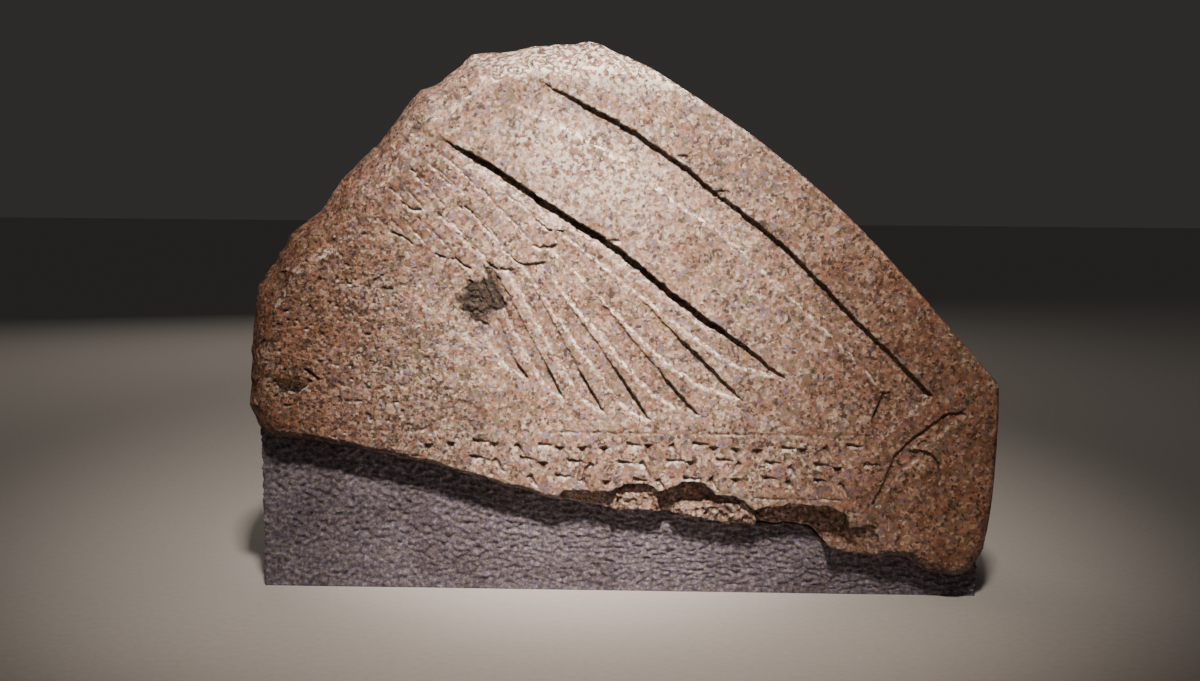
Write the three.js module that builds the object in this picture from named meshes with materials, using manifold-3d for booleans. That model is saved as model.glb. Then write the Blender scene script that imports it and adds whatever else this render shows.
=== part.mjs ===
// A corner of a carved granite stele, broken off at its left, top and foot, on the block that was cut to fit under it.
// Millimetres, +Z up. The origin is on the ground under the middle of the object, and the carved face looks along -Y.
import * as THREE from "three";
import { mergeVertices } from "three/addons/utils/BufferGeometryUtils.js";
import { ImprovedNoise } from "three/addons/math/ImprovedNoise.js";
import Module from "manifold-3d";

const wasm = await Module();
wasm.setup();
const noise = new ImprovedNoise();

// ---------- Driving dimensions ----------

const THICKNESS = 320; // of the slab, face to back, before its back was split off rough
const FACE_Y = -158;
const LIFT = 4; // how far a cutter stands out in front of the face

const BLOCK_SETBACK = 45; // of the block's front behind the carved face
const BLOCK_BACK_SETBACK = 30; // of the block's back in front of the slab's back
const BLOCK_LEFT = -566;
const BLOCK_RIGHT = 565;
const BEDDING_GAP = 0.3; // between the block and the stone that rests on it
const FINEST_EDGE = 0.03; // edges shorter than this are merged away

const OUTLINE_STEP = 27; // distance between the points round the slab
const BREAK_ROUGHNESS = 4; // how far a broken edge wanders
const BREAK_GRAIN = 34; // the size of the lumps on a break
const BACK_ROUGHNESS = 12; // how far the split back wanders

// Each stretch of the outline lists [x, z, bevel width, bevel depth]: the bevel is the broken or worn
// slope that leads from the flat face back to the outline.
const FOOT_BREAK = [
  [-566, 262, 30, 30],
  [-535, 247, 16, 20],
  [-450, 240, 10, 14],
  [-360, 225, 8, 12],
  [-270, 204, 8, 12],
  [-180, 176, 8, 12],
  [-100, 158, 8, 12],
  [-20, 143, 10, 14],
  [90, 137, 10, 14],
  [165, 123, 10, 14],
  [235, 116, 10, 14],
  [298, 115, 10, 14],
  [335, 82, 10, 14],
  [405, 69, 12, 16],
  [450, 73, 12, 16],
  [478, 47, 14, 18],
  [525, 38, 18, 24],
  [556, 46, 26, 34],
];
const RIGHT_SIDE = [
  [572, 85, 18, 26],
  [579, 170, 9, 12],
  [582, 280, 7, 9],
  [581, 345, 8, 10],
];
const ARCH = [
  [460, 479, 6, 7],
  [340, 603, 6, 7],
  [200, 717, 6, 7],
  [50, 815, 10, 12],
];
const TOP_BREAK = [
  [0, 841, 30, 36],
  [-52, 860, 48, 52],
  [-130, 853, 48, 52],
  [-232, 840, 56, 60],
];
const LEFT_BREAK = [
  [-278, 800, 52, 60],
  [-312, 787, 50, 60],
  [-337, 758, 52, 64],
  [-385, 702, 60, 70],
  [-440, 646, 64, 75],
  [-478, 592, 66, 78],
  [-520, 560, 60, 75],
  [-548, 515, 55, 70],
  [-572, 485, 45, 60],
  [-577, 400, 32, 45],
  [-578, 340, 30, 40],
  [-581.2, 295, 32, 40],
];

// Flakes lost from the face: centre, half width, half height and depth.
const FLAKES = [
  { name: "foot left", x: -45, z: 146, halfWidth: 50, halfHeight: 25, depth: 20 },
  { name: "foot middle", x: 112, z: 148, halfWidth: 52, halfHeight: 41, depth: 34 },
  { name: "foot right", x: 282, z: 116, halfWidth: 72, halfHeight: 36, depth: 38 },
  { name: "foot corner", x: 368, z: 84, halfWidth: 44, halfHeight: 40, depth: 18 },
  { name: "shell", x: -512, z: 343, halfWidth: 36, halfHeight: 26, depth: 12 },
  { name: "pit", x: -207, z: 470, halfWidth: 32, halfHeight: 42, depth: 5 },
];

// The sky sign: a sunk band that follows the arch and ends in a point.
const SKY_UPPER = [[-146, 811], [-90, 782], [0, 735], [80, 684], [160, 622], [250, 552], [340, 462], [420, 385], [478, 326]];
const SKY_LOWER = [[-192, 772], [-140, 750], [-60, 712], [0, 676], [80, 618], [160, 562], [240, 489], [330, 407], [403, 332]];
const SKY_UPPER_DEPTH = 6.5;
const SKY_LOWER_DEPTH = 3.4;
const SKY_LIP = 4.5;
const SKY_POINT = { outer: [478, 326], inner: [403, 332], bulge: [388, 285], tip: [394, 250] };

// The wing: three tiers of feathers that fan out from its shoulder, under one deep contour. A feather is
// [tip x, tip z, angle at which it runs back, width, length, length of its curved tip, distance over which
// its upper edge is deep, distance at which its lower edge meets the next feather].
const WING_CONTOUR = [[-274, 713], [-233, 693], [-189, 668], [-100, 609], [-15, 557], [76, 485], [172, 414], [252, 353]];
const WING_CONTOUR_DEPTH = 10;
const WING_CONTOUR_SLOPE = 30; // width of the slope from the contour to the feathers
const PRIMARIES = [
  [252, 352, 37.5, 38, 560, 120, 200, 185],
  [190, 316, 44.5, 45, 400, 140, 144, 125],
  [122, 292, 49, 36, 350, 100, 84, 148],
  [50, 283, 54.5, 28, 325, 65, 105, 125],
  [-24, 294, 61, 24, 285, 60, 72, 105],
  [-85, 315, 62, 20, 245, 50, 55, 79],
  [-140, 345, 55, 21, 150, 50, 28, 60],
];
const COVERTS = [
  [-69, 582, 37, 28, 175, 34, 34, 34],
  [-96, 555, 46, 30, 165, 32, 32, 32],
  [-113, 527, 48, 34, 150, 38, 38, 38],
  [-160, 518, 46, 26, 140, 36, 36, 36],
  [-207, 516, 47, 23, 130, 45, 45, 45],
  [-254, 531, 47, 19, 110, 42, 42, 42],
  [-291, 547, 47, 17, 85, 38, 38, 38],
  [-324, 566, 46, 17, 60, 34, 34, 34],
];
const LESSER_COVERTS = [
  [-189, 668, 37.5, 38, 108, 25, 25, 25],
  [-222, 641, 41.5, 23, 92, 20, 20, 20],
  [-240, 612, 48, 21, 95, 22, 22, 22],
  [-270, 598, 50, 20, 80, 22, 22, 22],
  [-302, 607, 50, 17, 58, 22, 22, 22],
];
const PRIMARY_DEPTHS = { upper: [6, 2.2], middle: [4.4, 4], lower: [5.6, 5.6], lip: [0, 2.2] }; // [at the tip, behind it]
const COVERT_DEPTHS = { upper: [0.6, 0.9], middle: [0.6, 1.2], lower: [0.6, 2.8], lip: [0.5, 0.9] };
const LIP_WIDTH = 4.2;
const ROOT_FADE = 24; // distance over which a feather's cut dies away at its root
const WORN_FEATHERS = {
  upper: [[-215, 520], [-290, 549], [-350, 575]],
  lower: [[-150, 342], [-240, 407], [-330, 485]],
  depth: 2.6,
};

// The head and shaft of the sceptre under the sky sign's point.
const SCEPTRE_DEPTH = 4;
const SCEPTRE_LIP = 3;
const SNOUT = {
  upper: [[405, 152], [424, 190], [443, 214], [458, 223]],
  lower: [[391, 156], [413, 202], [427, 238], [456, 243]],
};
const CHEEK = {
  upper: [[427, 236], [458, 243], [480, 239], [493, 219], [495, 160], [493, 110]],
  lower: [[431, 205], [458, 223], [468, 219], [473, 204], [472, 160], [470, 110]],
};
const EAR = {
  upper: [[423, 226], [433, 245], [456, 266], [480, 285], [505, 302]],
  lower: [[432, 222], [446, 239], [466, 257], [490, 277], [520, 301]],
};
const FORELOCK = {
  upper: [[456, 249], [470, 262], [497, 286], [523, 305]],
  lower: [[464, 243], [478, 252], [505, 278], [531, 299]],
};

// The inscription: wedge-shaped strokes in rows between two ruled lines. They spell nothing.
const RULE_WIDTH = 3.4;
const RULE_DEPTH = 1.6;
const UPPER_RULE = { z: 264, left: -435, right: 387 };
const LOWER_RULE = { z: 163, left: 190, right: 387 };
const STROKE_ROWS = [
  { z: 244, left: -296, right: 376, pitch: 34, turns: [0, 0, 90, 0, 35, 90, 0] },
  { z: 218, left: -232, right: 376, pitch: 38, turns: [90, 35, 90, 0, 90, -35] },
  { z: 192, left: -140, right: 376, pitch: 40, turns: [35, 90, 35, 0, 90] },
];
const STROKE = { headWidth: 15, length: 34, depth: 4.6 };

// ---------- Solids ----------

// A closed triangle mesh as a manifold solid, turned right side out.
function solidOf(geometry) {
  const bare = geometry.clone();
  bare.deleteAttribute("normal");
  bare.deleteAttribute("uv");
  const merged = mergeVertices(bare, 1e-3);
  const made = new wasm.Manifold(
    new wasm.Mesh({
      numProp: 3,
      vertProperties: merged.attributes.position.array,
      triVerts: new Uint32Array(merged.index.array),
    }),
  );
  return made.volume() < 0 ? made.mirror([0, 0, 1]).mirror([0, 0, 1]) : made;
}

// The solid between matching rings of [x, y, z] points, closed at both ends by the caps' triangles.
function loft(rings, firstCap, lastCap) {
  const size = rings[0].length;
  const index = [];
  for (let i = 0; i + 1 < rings.length; i++)
    for (let j = 0; j < size; j++) {
      const here = i * size + j;
      const next = i * size + ((j + 1) % size);
      index.push(here, next, next + size, here, next + size, here + size);
    }
  const last = (rings.length - 1) * size;
  for (const [a, b, c] of firstCap) index.push(a, c, b);
  for (const [a, b, c] of lastCap) index.push(last + a, last + b, last + c);
  const geometry = new THREE.BufferGeometry();
  geometry.setAttribute("position", new THREE.Float32BufferAttribute(rings.flat(2), 3));
  geometry.setIndex(facingOut(geometry, index) ? index : index.map((_, i) => index[i - (i % 3) + 2 - (i % 3)]));
  return solidOf(geometry);
}

// Whether the triangles enclose a positive volume.
function facingOut(geometry, index) {
  const position = geometry.attributes.position;
  const corners = [new THREE.Vector3(), new THREE.Vector3(), new THREE.Vector3()];
  let volume = 0;
  for (let i = 0; i < index.length; i += 3) {
    corners.forEach((corner, k) => corner.fromBufferAttribute(position, index[i + k]));
    volume += corners[0].dot(corners[1].clone().cross(corners[2]));
  }
  return volume > 0;
}

// The triangles of a fan over a convex ring of points.
const fan = (size) => Array.from({ length: size - 2 }, (_, i) => [0, i + 1, i + 2]);

// A cutter through convex sections of [x, y, z] points.
const strip = (sections) => loft(sections, fan(sections[0].length), fan(sections[0].length));

// Evenly spaced points on a smooth curve through [x, z] points.
function along(points, count) {
  const curve = new THREE.SplineCurve(points.map(([x, z]) => new THREE.Vector2(x, z)));
  return curve.getSpacedPoints(count - 1).map(({ x, y }) => [x, y]);
}

const between = (a, b, t) => a.map((value, i) => value + (b[i] - value) * t);

// ---------- The carving ----------

// A sunk band between two curves. Its floor slopes from one depth to the other, and a sloping lip of the
// given width leads up to the lower curve. It deepens over its first few sections, as many as fade says.
function sunkBand(upper, lower, upperDepth, lowerDepth, lip, count, fade = 0) {
  const lows = along(lower, count);
  return strip(
    along(upper, count).map(([x, z], i) => {
      const share = Math.min(1, (i + 0.1) / (fade + 0.1));
      const low = lows[i];
      const wide = Math.hypot(x - low[0], z - low[1]);
      const inner = between(low, [x, z], Math.min(0.8, lip / Math.max(wide, 0.01)));
      return [
        [x, FACE_Y - LIFT, z],
        [x, FACE_Y + upperDepth * share, z],
        [inner[0], FACE_Y + lowerDepth * share, inner[1]],
        [low[0], FACE_Y, low[1]],
        [low[0], FACE_Y - LIFT, low[1]],
      ];
    }),
  );
}

// The sky sign, with the pointed end that hangs from it.
function skySign() {
  const { outer, inner, bulge, tip } = SKY_POINT;
  const band = sunkBand(SKY_UPPER, SKY_LOWER, SKY_UPPER_DEPTH, SKY_LOWER_DEPTH, SKY_LIP, 28, 4);
  const point = sunkBand([inner, bulge, [tip[0] - 1, tip[1]]], [outer, between(outer, tip, 0.5), tip], 5, 4, SKY_LIP, 9);
  return band.add(point);
}

// The V-shaped groove of a ruled line.
function ruledLine({ z, left, right }) {
  const half = RULE_WIDTH / 2;
  const reach = half * (1 + LIFT / RULE_DEPTH);
  const section = (x) => [
    [x, FACE_Y - LIFT, z - reach],
    [x, FACE_Y - LIFT, z + reach],
    [x, FACE_Y + RULE_DEPTH, z],
  ];
  return strip([section(left), section(right)]);
}

// One feather: a straight upper edge that ends at the tip, and a lower edge that curves in to meet it. The
// cutter has a sloping lip along the lower edge; the footprint is all that the feather covers.
function feather([tipX, tipZ, angle, width, length, tipLength, deep, meeting], depths) {
  const turn = THREE.MathUtils.degToRad(angle);
  const back = [-Math.cos(turn), Math.sin(turn)];
  const across = [-Math.sin(turn), -Math.cos(turn)];
  const curved = [0, 0.06, 0.16, 0.32, 0.55, 1].map((share) => share * tipLength);
  const behind = [deep, deep + ROOT_FADE / 2, meeting, meeting + ROOT_FADE / 2, length - ROOT_FADE, length];
  const stations = [...curved, ...behind.filter((s) => s > tipLength + 1).sort((a, b) => a - b)];
  const passed = (s, limit) => THREE.MathUtils.smoothstep(s, 0.8 * limit, limit + ROOT_FADE / 2);
  const sections = stations.map((s) => {
    const wide = Math.max(0.8, width * (1 - (1 - Math.min(s / tipLength, 1)) ** 2));
    const lipWidth = Math.min(LIP_WIDTH, wide * 0.6);
    const edge = Math.max(0.3, wide - 0.15);
    const fade = Math.max(0.02, THREE.MathUtils.clamp((length - s) / ROOT_FADE, 0, 1));
    const depth = ([tip, root], limit) => fade * (tip + (root - tip) * passed(s, limit));
    const at = (offset, y) => [tipX + back[0] * s + across[0] * offset, FACE_Y + y, tipZ + back[1] * s + across[1] * offset];
    return {
      cut: [
        at(0, -LIFT),
        at(0, depth(depths.upper, deep)),
        at((wide - lipWidth) / 2, depth(depths.middle, deep)),
        at(wide - lipWidth, depth(depths.lower, meeting)),
        at(wide, depth(depths.lip, meeting)),
        at(wide, -LIFT),
      ],
      cover: [-2 * LIFT, 4 * LIFT].flatMap((y, i) => (i ? [at(edge, y), at(0.05, y)] : [at(0.05, y), at(edge, y)])),
    };
  });
  return { cutter: strip(sections.map(({ cut }) => cut)), footprint: strip(sections.map(({ cover }) => cover)) };
}

// The wing. A feather shows only where no earlier one lies over it, and nothing is cut above the contour.
function wing() {
  const feathers = [
    ...LESSER_COVERTS.map((row) => feather(row, COVERT_DEPTHS)),
    ...COVERTS.map((row) => feather(row, COVERT_DEPTHS)),
    ...PRIMARIES.map((row) => feather(row, PRIMARY_DEPTHS)),
  ];
  const { upper, lower, depth } = WORN_FEATHERS;
  let covered = null;
  let cut = null;
  for (const { cutter, footprint } of feathers) {
    const shown = covered ? cutter.subtract(covered) : cutter;
    cut = cut ? cut.add(shown) : shown;
    covered = covered ? covered.add(footprint) : footprint;
  }
  cut = cut.add(sunkBand(upper, lower, depth, depth, 6, 6).subtract(covered));
  const contour = along(WING_CONTOUR, 22);
  const above = strip(
    [[-340, 735], ...contour].map(([x, z]) => [
      [x, FACE_Y - 3 * LIFT, z],
      [x, FACE_Y + 5 * LIFT, z],
      [x + 120, FACE_Y + 5 * LIFT, z + 160],
      [x + 120, FACE_Y - 3 * LIFT, z + 160],
    ]),
  );
  return cut.subtract(above).add(contourGroove(contour));
}

// The deep cut under the wing's contour. It thins to nothing at both ends.
function contourGroove(contour) {
  return strip(
    contour.map(([x, z], i) => {
      const share = Math.min(1, i / 2 + 0.1, (contour.length - 1 - i) / 5 + 0.05);
      const slope = WING_CONTOUR_SLOPE * share;
      return [
        [x, FACE_Y - LIFT, z],
        [x, FACE_Y + WING_CONTOUR_DEPTH * share, z],
        [x - slope * 0.6, FACE_Y + 3.5 * share, z - slope * 0.8],
        [x - slope * 0.6, FACE_Y - LIFT, z - slope * 0.8],
      ];
    }),
  );
}

// The sceptre's head with its snout and ears, and the shaft under it.
function sceptre() {
  const part = ({ upper, lower }, count) =>
    sunkBand(upper, lower, SCEPTRE_DEPTH, SCEPTRE_DEPTH * 0.8, SCEPTRE_LIP, count);
  return part({ upper: SNOUT.lower, lower: SNOUT.upper }, 9)
    .add(part(CHEEK, 16))
    .add(part(EAR, 9))
    .add(part(FORELOCK, 7));
}

// One wedge-shaped stroke: a broad head, and a tail that runs out to a point. Turn 0 points it down.
function stroke(x, z, turn) {
  const angle = THREE.MathUtils.degToRad(turn);
  const place = (side, down, depth) => [
    x + side * Math.cos(angle) + down * Math.sin(angle),
    FACE_Y + depth,
    z + side * Math.sin(angle) - down * Math.cos(angle),
  ];
  const half = STROKE.headWidth / 2;
  const mouth = [place(-half, 0, 0), place(half, 0, 0), place(0, STROKE.length, 0)];
  const bottom = place(0, half, STROKE.depth);
  const grown = mouth.map((corner) => between(bottom, corner, 1 + LIFT / STROKE.depth));
  const geometry = new THREE.BufferGeometry();
  geometry.setAttribute("position", new THREE.Float32BufferAttribute([...grown, bottom].flat(), 3));
  geometry.setIndex([0, 2, 1, 0, 1, 3, 1, 2, 3, 2, 0, 3]);
  return solidOf(geometry);
}

// All the strokes: even rows, each stroke turned by the row's own cycle.
function strokes() {
  return STROKE_ROWS.flatMap(({ z, left, right, pitch, turns }, row) =>
    Array.from({ length: Math.floor((right - left) / pitch) + 1 }, (_, i) =>
      stroke(left + pitch * i, z + 3 * Math.sin(7 * i + row), turns[i % turns.length]),
    ),
  );
}

// ---------- The broken slab ----------

// The whole outline as evenly spaced { x, z, bevelWidth, bevelDepth, broken } points, counter-clockwise from the front.
function outlinePoints() {
  const stretches = [
    { stations: FOOT_BREAK, broken: true },
    { stations: RIGHT_SIDE, broken: false },
    { stations: ARCH, broken: false },
    { stations: TOP_BREAK, broken: true },
    { stations: LEFT_BREAK, broken: true },
  ];
  const stations = stretches.flatMap(({ stations: list, broken }) => list.map((station) => ({ station, broken })));
  const points = [];
  stations.forEach(({ station, broken }, i) => {
    const before = stations[(i + stations.length - 1) % stations.length];
    const next = stations[(i + 1) % stations.length];
    const after = stations[(i + 2) % stations.length];
    const smooth = ARCH.includes(station) && ARCH.includes(next.station);
    const length = Math.hypot(next.station[0] - station[0], next.station[1] - station[1]);
    const count = Math.max(1, Math.round(length / OUTLINE_STEP));
    for (let k = 0; k < count; k++) {
      const t = k / count;
      const [x, z, bevelWidth, bevelDepth] = between(station, next.station, t);
      const [bowX, bowZ] = smooth ? bow(before.station, station, next.station, after.station, t) : [x, z];
      points.push({ x: bowX, z: bowZ, bevelWidth, bevelDepth, broken: broken && next.broken ? 1 : 0 });
    }
  });
  return points;
}

// The point at t on the smooth curve from b to c, which looks ahead to d and back to a.
function bow(a, b, c, d, t) {
  return [0, 1].map(
    (k) =>
      b[k] +
      0.5 * t * (c[k] - a[k] + t * (2 * a[k] - 5 * b[k] + 4 * c[k] - d[k] + t * (3 * (b[k] - c[k]) + d[k] - a[k]))),
  );
}

// A ring of the slab: the outline moved inwards by a share of its bevel and by an extra inset, at a depth from the face.
function ring(outline, bevelShare, depthOf, inset, roughness) {
  return outline.map((point, i) => {
    const previous = outline[(i + outline.length - 1) % outline.length];
    const next = outline[(i + 1) % outline.length];
    const length = Math.hypot(next.x - previous.x, next.z - previous.z);
    const outwards = [(next.z - previous.z) / length, -(next.x - previous.x) / length];
    const depth = depthOf(point);
    const lump = noise.noise(point.x / BREAK_GRAIN, depth / BREAK_GRAIN + 7.3, point.z / BREAK_GRAIN);
    const out = point.broken * roughness * lump - bevelShare * point.bevelWidth - inset * (point.broken ? 1 : 0.3);
    return [point.x + outwards[0] * out, FACE_Y + depth, point.z + outwards[1] * out];
  });
}

// The slab before it was carved: a flat face, a bevel, rough or dressed sides, and a rough split back.
function slab() {
  const outline = outlinePoints();
  const face = ring(outline, 1, () => 0, 0, 0);
  const depths = [0.33, 0.47, 0.62, 0.77, 0.91];
  const rings = [
    face,
    ring(outline, 0.4, ({ bevelDepth }) => bevelDepth * 0.4, 0, BREAK_ROUGHNESS),
    ring(outline, 0, ({ bevelDepth }) => bevelDepth, 0, BREAK_ROUGHNESS),
    ...depths.map((share) => ring(outline, 0, () => THICKNESS * share, 14 * (share - 0.33), 2.5 * BREAK_ROUGHNESS)),
    ring(outline, 0, () => THICKNESS * 1.05, 34, BREAK_ROUGHNESS),
  ];
  const cap = (points) => THREE.ShapeUtils.triangulateShape(points.map(([x, , z]) => new THREE.Vector2(x, z)), []);
  return loft(rings, cap(face), cap(rings[rings.length - 1])).intersect(splitBack());
}

// Everything in front of the slab's rough split back.
function splitBack() {
  const reach = 2 * THICKNESS;
  const geometry = new THREE.BoxGeometry(1240, reach, 920, 26, 1, 20);
  geometry.translate(0, FACE_Y + THICKNESS - reach / 2, 440);
  const position = geometry.attributes.position;
  for (let i = 0; i < position.count; i++) {
    if (position.getY(i) < FACE_Y) continue;
    const [x, z] = [position.getX(i), position.getZ(i)];
    const swell = noise.noise(x / 260, 3.1, z / 260);
    const lump = noise.noise(x / 85, 8.6, z / 85);
    position.setY(i, FACE_Y + THICKNESS + BACK_ROUGHNESS * (swell + 0.5 * lump - 1));
  }
  return solidOf(geometry);
}

// The lump of stone that a flake took with it.
function flake({ x, z, halfWidth, halfHeight, depth }) {
  const geometry = new THREE.IcosahedronGeometry(1, 3);
  const position = geometry.attributes.position;
  for (let i = 0; i < position.count; i++) {
    const at = new THREE.Vector3().fromBufferAttribute(position, i);
    const swell = 1 + 0.3 * noise.noise(2.4 * at.x + x, 2.4 * at.y, 2.4 * at.z + z);
    position.setXYZ(i, x + at.x * halfWidth * swell, FACE_Y + at.y * depth * swell, z + at.z * halfHeight * swell);
  }
  return solidOf(geometry);
}

function steleSolid() {
  const cutters = [
    skySign(),
    wing(),
    sceptre(),
    ruledLine(UPPER_RULE),
    ruledLine(LOWER_RULE),
    ...strokes(),
    ...FLAKES.map(flake),
  ];
  return largest(cutters.reduce((stone, cutter) => stone.subtract(cutter), slab()));
}

// The largest of a solid's separate bodies, without the crumbs that a cut can leave.
function largest(solid) {
  return solid.decompose().reduce((best, body) => (body.volume() > best.volume() ? body : best));
}

// ---------- The fitted block ----------

// A plain block whose top is cut to the underside of the stone that rests on it.
function blockSolid(stele) {
  const shape = new THREE.Shape([
    new THREE.Vector2(BLOCK_LEFT, 0),
    new THREE.Vector2(BLOCK_RIGHT, 0),
    new THREE.Vector2(BLOCK_RIGHT, 100),
    new THREE.Vector2(430, 110),
    new THREE.Vector2(300, 160),
    new THREE.Vector2(-180, 225),
    new THREE.Vector2(-450, 285),
    new THREE.Vector2(BLOCK_LEFT, 290),
  ]);
  const depth = THICKNESS - BLOCK_SETBACK - BLOCK_BACK_SETBACK;
  const geometry = new THREE.ExtrudeGeometry(shape, { depth, bevelEnabled: false, steps: 1 });
  geometry.rotateX(Math.PI / 2).translate(0, FACE_Y + BLOCK_SETBACK + depth, 0);
  return largest(solidOf(geometry).subtract(stele.translate([0, 0, -BEDDING_GAP])));
}

// ---------- Meshes ----------

// A manifold solid as three.js geometry.
function geometryOf(solid) {
  const { vertProperties, triVerts, numProp } = solid.getMesh();
  const positions = new Float32Array((vertProperties.length / numProp) * 3);
  for (let i = 0; i < positions.length / 3; i++)
    positions.set(vertProperties.subarray(i * numProp, i * numProp + 3), i * 3);
  const geometry = new THREE.BufferGeometry();
  geometry.setAttribute("position", new THREE.BufferAttribute(positions, 3));
  geometry.setIndex(new THREE.BufferAttribute(triVerts, 1));
  geometry.computeVertexNormals();
  return geometry;
}

// A solid as a named mesh in its own material, without the slivers that the cuts leave.
function meshOf(name, solid, material) {
  const clean = largest(solidOf(geometryOf(solid.simplify(FINEST_EDGE))));
  const mesh = new THREE.Mesh(geometryOf(clean), material);
  mesh.name = name;
  return mesh;
}

const pinkGranite = new THREE.MeshStandardMaterial({ color: 0xb08d78, roughness: 0.8, metalness: 0 });
const tooledGreyStone = new THREE.MeshStandardMaterial({ color: 0x6d665f, roughness: 0.95, metalness: 0 });

const stele = steleSolid();
const root = new THREE.Group();
root.add(meshOf("stele_fragment", stele, pinkGranite));
root.add(meshOf("fitted_base_block", blockSolid(stele), tooledGreyStone));

export default root;
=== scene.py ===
"""A corner of a carved granite stele on the block that was cut to fit under it.

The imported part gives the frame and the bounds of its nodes. The slab's outline and the plan of the carving
repeat the values of the part's source. The cuts have sizes of their own here, mostly deeper than the source's,
so that their shadows read. The losses, wear, tool marks and finishes are made here alone. Lengths are in
millimetres until a mesh is made, and in metres from there on. The carved face looks along -Y.
"""

import logging
import math
from dataclasses import dataclass, field
from enum import Enum
from typing import Any, Iterable, Sequence

import bmesh
import bpy
import numpy as np
from mathutils import Matrix, Vector
from mathutils.bvhtree import BVHTree
from mathutils.geometry import delaunay_2d_cdt


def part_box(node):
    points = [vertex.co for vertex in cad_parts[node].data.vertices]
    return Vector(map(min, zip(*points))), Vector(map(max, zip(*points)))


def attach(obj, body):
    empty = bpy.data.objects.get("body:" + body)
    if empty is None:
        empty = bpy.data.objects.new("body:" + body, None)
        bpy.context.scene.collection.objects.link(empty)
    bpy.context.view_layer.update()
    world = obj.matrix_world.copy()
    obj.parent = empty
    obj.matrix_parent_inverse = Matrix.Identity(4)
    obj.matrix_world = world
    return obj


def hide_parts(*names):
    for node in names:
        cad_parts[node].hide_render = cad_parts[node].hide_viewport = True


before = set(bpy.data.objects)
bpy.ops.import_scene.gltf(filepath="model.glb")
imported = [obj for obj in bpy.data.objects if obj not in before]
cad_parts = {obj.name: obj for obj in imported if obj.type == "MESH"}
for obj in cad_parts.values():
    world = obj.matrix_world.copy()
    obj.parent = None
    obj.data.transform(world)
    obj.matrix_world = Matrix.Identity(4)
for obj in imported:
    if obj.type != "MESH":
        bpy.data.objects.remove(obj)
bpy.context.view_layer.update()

LOG = logging.getLogger("stele")
MM = 0.001
BODY = "root"
Point = tuple[float, float]


class Node(Enum):
    """The part's two nodes, which the pieces here stand for."""

    STELE = "stele_fragment"
    BLOCK = "fitted_base_block"


class Slot(Enum):
    """Material slot names for the two stones."""

    GRANITE = "pink_granite"
    TOOLED = "tooled_grey_stone"


# ---------- Numbers and noise ----------


def srgb(code: str) -> tuple[float, float, float, float]:
    """Turn an sRGB hex value to a linear colour.

    Args:
        code: Six hex digits, with or without a hash.

    Returns:
        Linear red, green and blue, and an alpha of 1.
    """
    code = code.lstrip("#")
    parts = [int(code[i : i + 2], 16) / 255 for i in (0, 2, 4)]
    linear = [c / 12.92 if c <= 0.04045 else ((c + 0.055) / 1.055) ** 2.4 for c in parts]
    return (linear[0], linear[1], linear[2], 1.0)


def smoothstep(value: np.ndarray, low: float, high: float) -> np.ndarray:
    """Ease from 0 at low to 1 at high."""
    t = np.clip((value - low) / (high - low), 0.0, 1.0)
    return t * t * (3 - 2 * t)


def between(a: Any, b: Any, c: Any, d: Any, t: Any) -> Any:
    """A point a share t of the way from b to c, on a smooth curve that also runs through a and d."""
    bend = t * (2 * a - 5 * b + 4 * c - d + t * (3 * (b - c) + d - a))
    return b + 0.5 * t * (c - a + bend)


def spaced(points: Sequence[Point], count: int) -> np.ndarray:
    """Space points evenly along a smooth curve.

    Args:
        points: The [x, z] points that the curve runs through.
        count: How many points to return.

    Returns:
        An array of [x, z] points, count by 2.
    """
    p = np.array(points, float)
    p = np.vstack([p[:1], p, p[-1:]])
    dense = []
    for i in range(1, len(p) - 2):
        dense.append(between(*p[i - 1 : i + 3], np.linspace(0, 1, 40, endpoint=False)[:, None]))
    line = np.vstack([*dense, p[-1:]])
    length = np.concatenate([[0], np.cumsum(np.hypot(*np.diff(line, axis=0).T))])
    stops = np.linspace(0, length[-1], count)
    return np.column_stack([np.interp(stops, length, line[:, k]) for k in (0, 1)])


@dataclass(frozen=True)
class Noise:
    """Smooth seeded noise between -1 and 1."""

    seed: int

    def at(self, cell: float, *axes: np.ndarray) -> np.ndarray:
        """Noise whose lumps are cell millimetres across.

        Args:
            cell: The lattice spacing.
            axes: Two or three coordinate arrays of one shape.

        Returns:
            The noise at each point.
        """
        table = np.random.default_rng(self.seed).uniform(-1, 1, 4096).astype(np.float32)
        primes = (73856093, 19349663, 83492791)
        floors = [np.floor(a / cell).astype(np.int64) for a in axes]
        parts = [(a / cell - f).astype(np.float32) for a, f in zip(axes, floors)]
        eased = [f * f * (3 - 2 * f) for f in parts]
        total = np.zeros(np.shape(axes[0]), np.float32)
        for corner in range(2 ** len(axes)):
            key = np.zeros(np.shape(axes[0]), np.int64)
            weight = np.ones(np.shape(axes[0]), np.float32)
            for k, (f, e) in enumerate(zip(floors, eased)):
                high = corner >> k & 1
                key ^= (f + high) * primes[k]
                weight *= e if high else 1 - e
            total += weight * table[key & 4095]
        return total

    def layered(self, cell: float, octaves: int, *axes: np.ndarray) -> np.ndarray:
        """Add finer and weaker noise to coarse noise, each half the size and half as strong."""
        layers = [Noise(self.seed + k).at(cell / 2**k, *axes) / 2**k for k in range(octaves)]
        return sum(layers) / sum(2.0**-k for k in range(octaves))


def blurred(values: np.ndarray, radius: int, passes: int = 2) -> np.ndarray:
    """Average each value with its neighbours.

    Args:
        values: A 2-D array.
        radius: How many cells to reach on each side.
        passes: How often to repeat it.

    Returns:
        The averaged array.
    """
    size = 2 * radius + 1
    for _ in range(passes):
        for axis in (0, 1):
            pad = [(radius + 1, radius) if k == axis else (0, 0) for k in (0, 1)]
            total = np.cumsum(np.pad(values, pad, mode="edge"), axis=axis, dtype=np.float64)
            high = np.take(total, range(size, total.shape[axis]), axis=axis)
            low = np.take(total, range(0, total.shape[axis] - size), axis=axis)
            values = ((high - low) / size).astype(np.float32)
    return values


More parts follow.
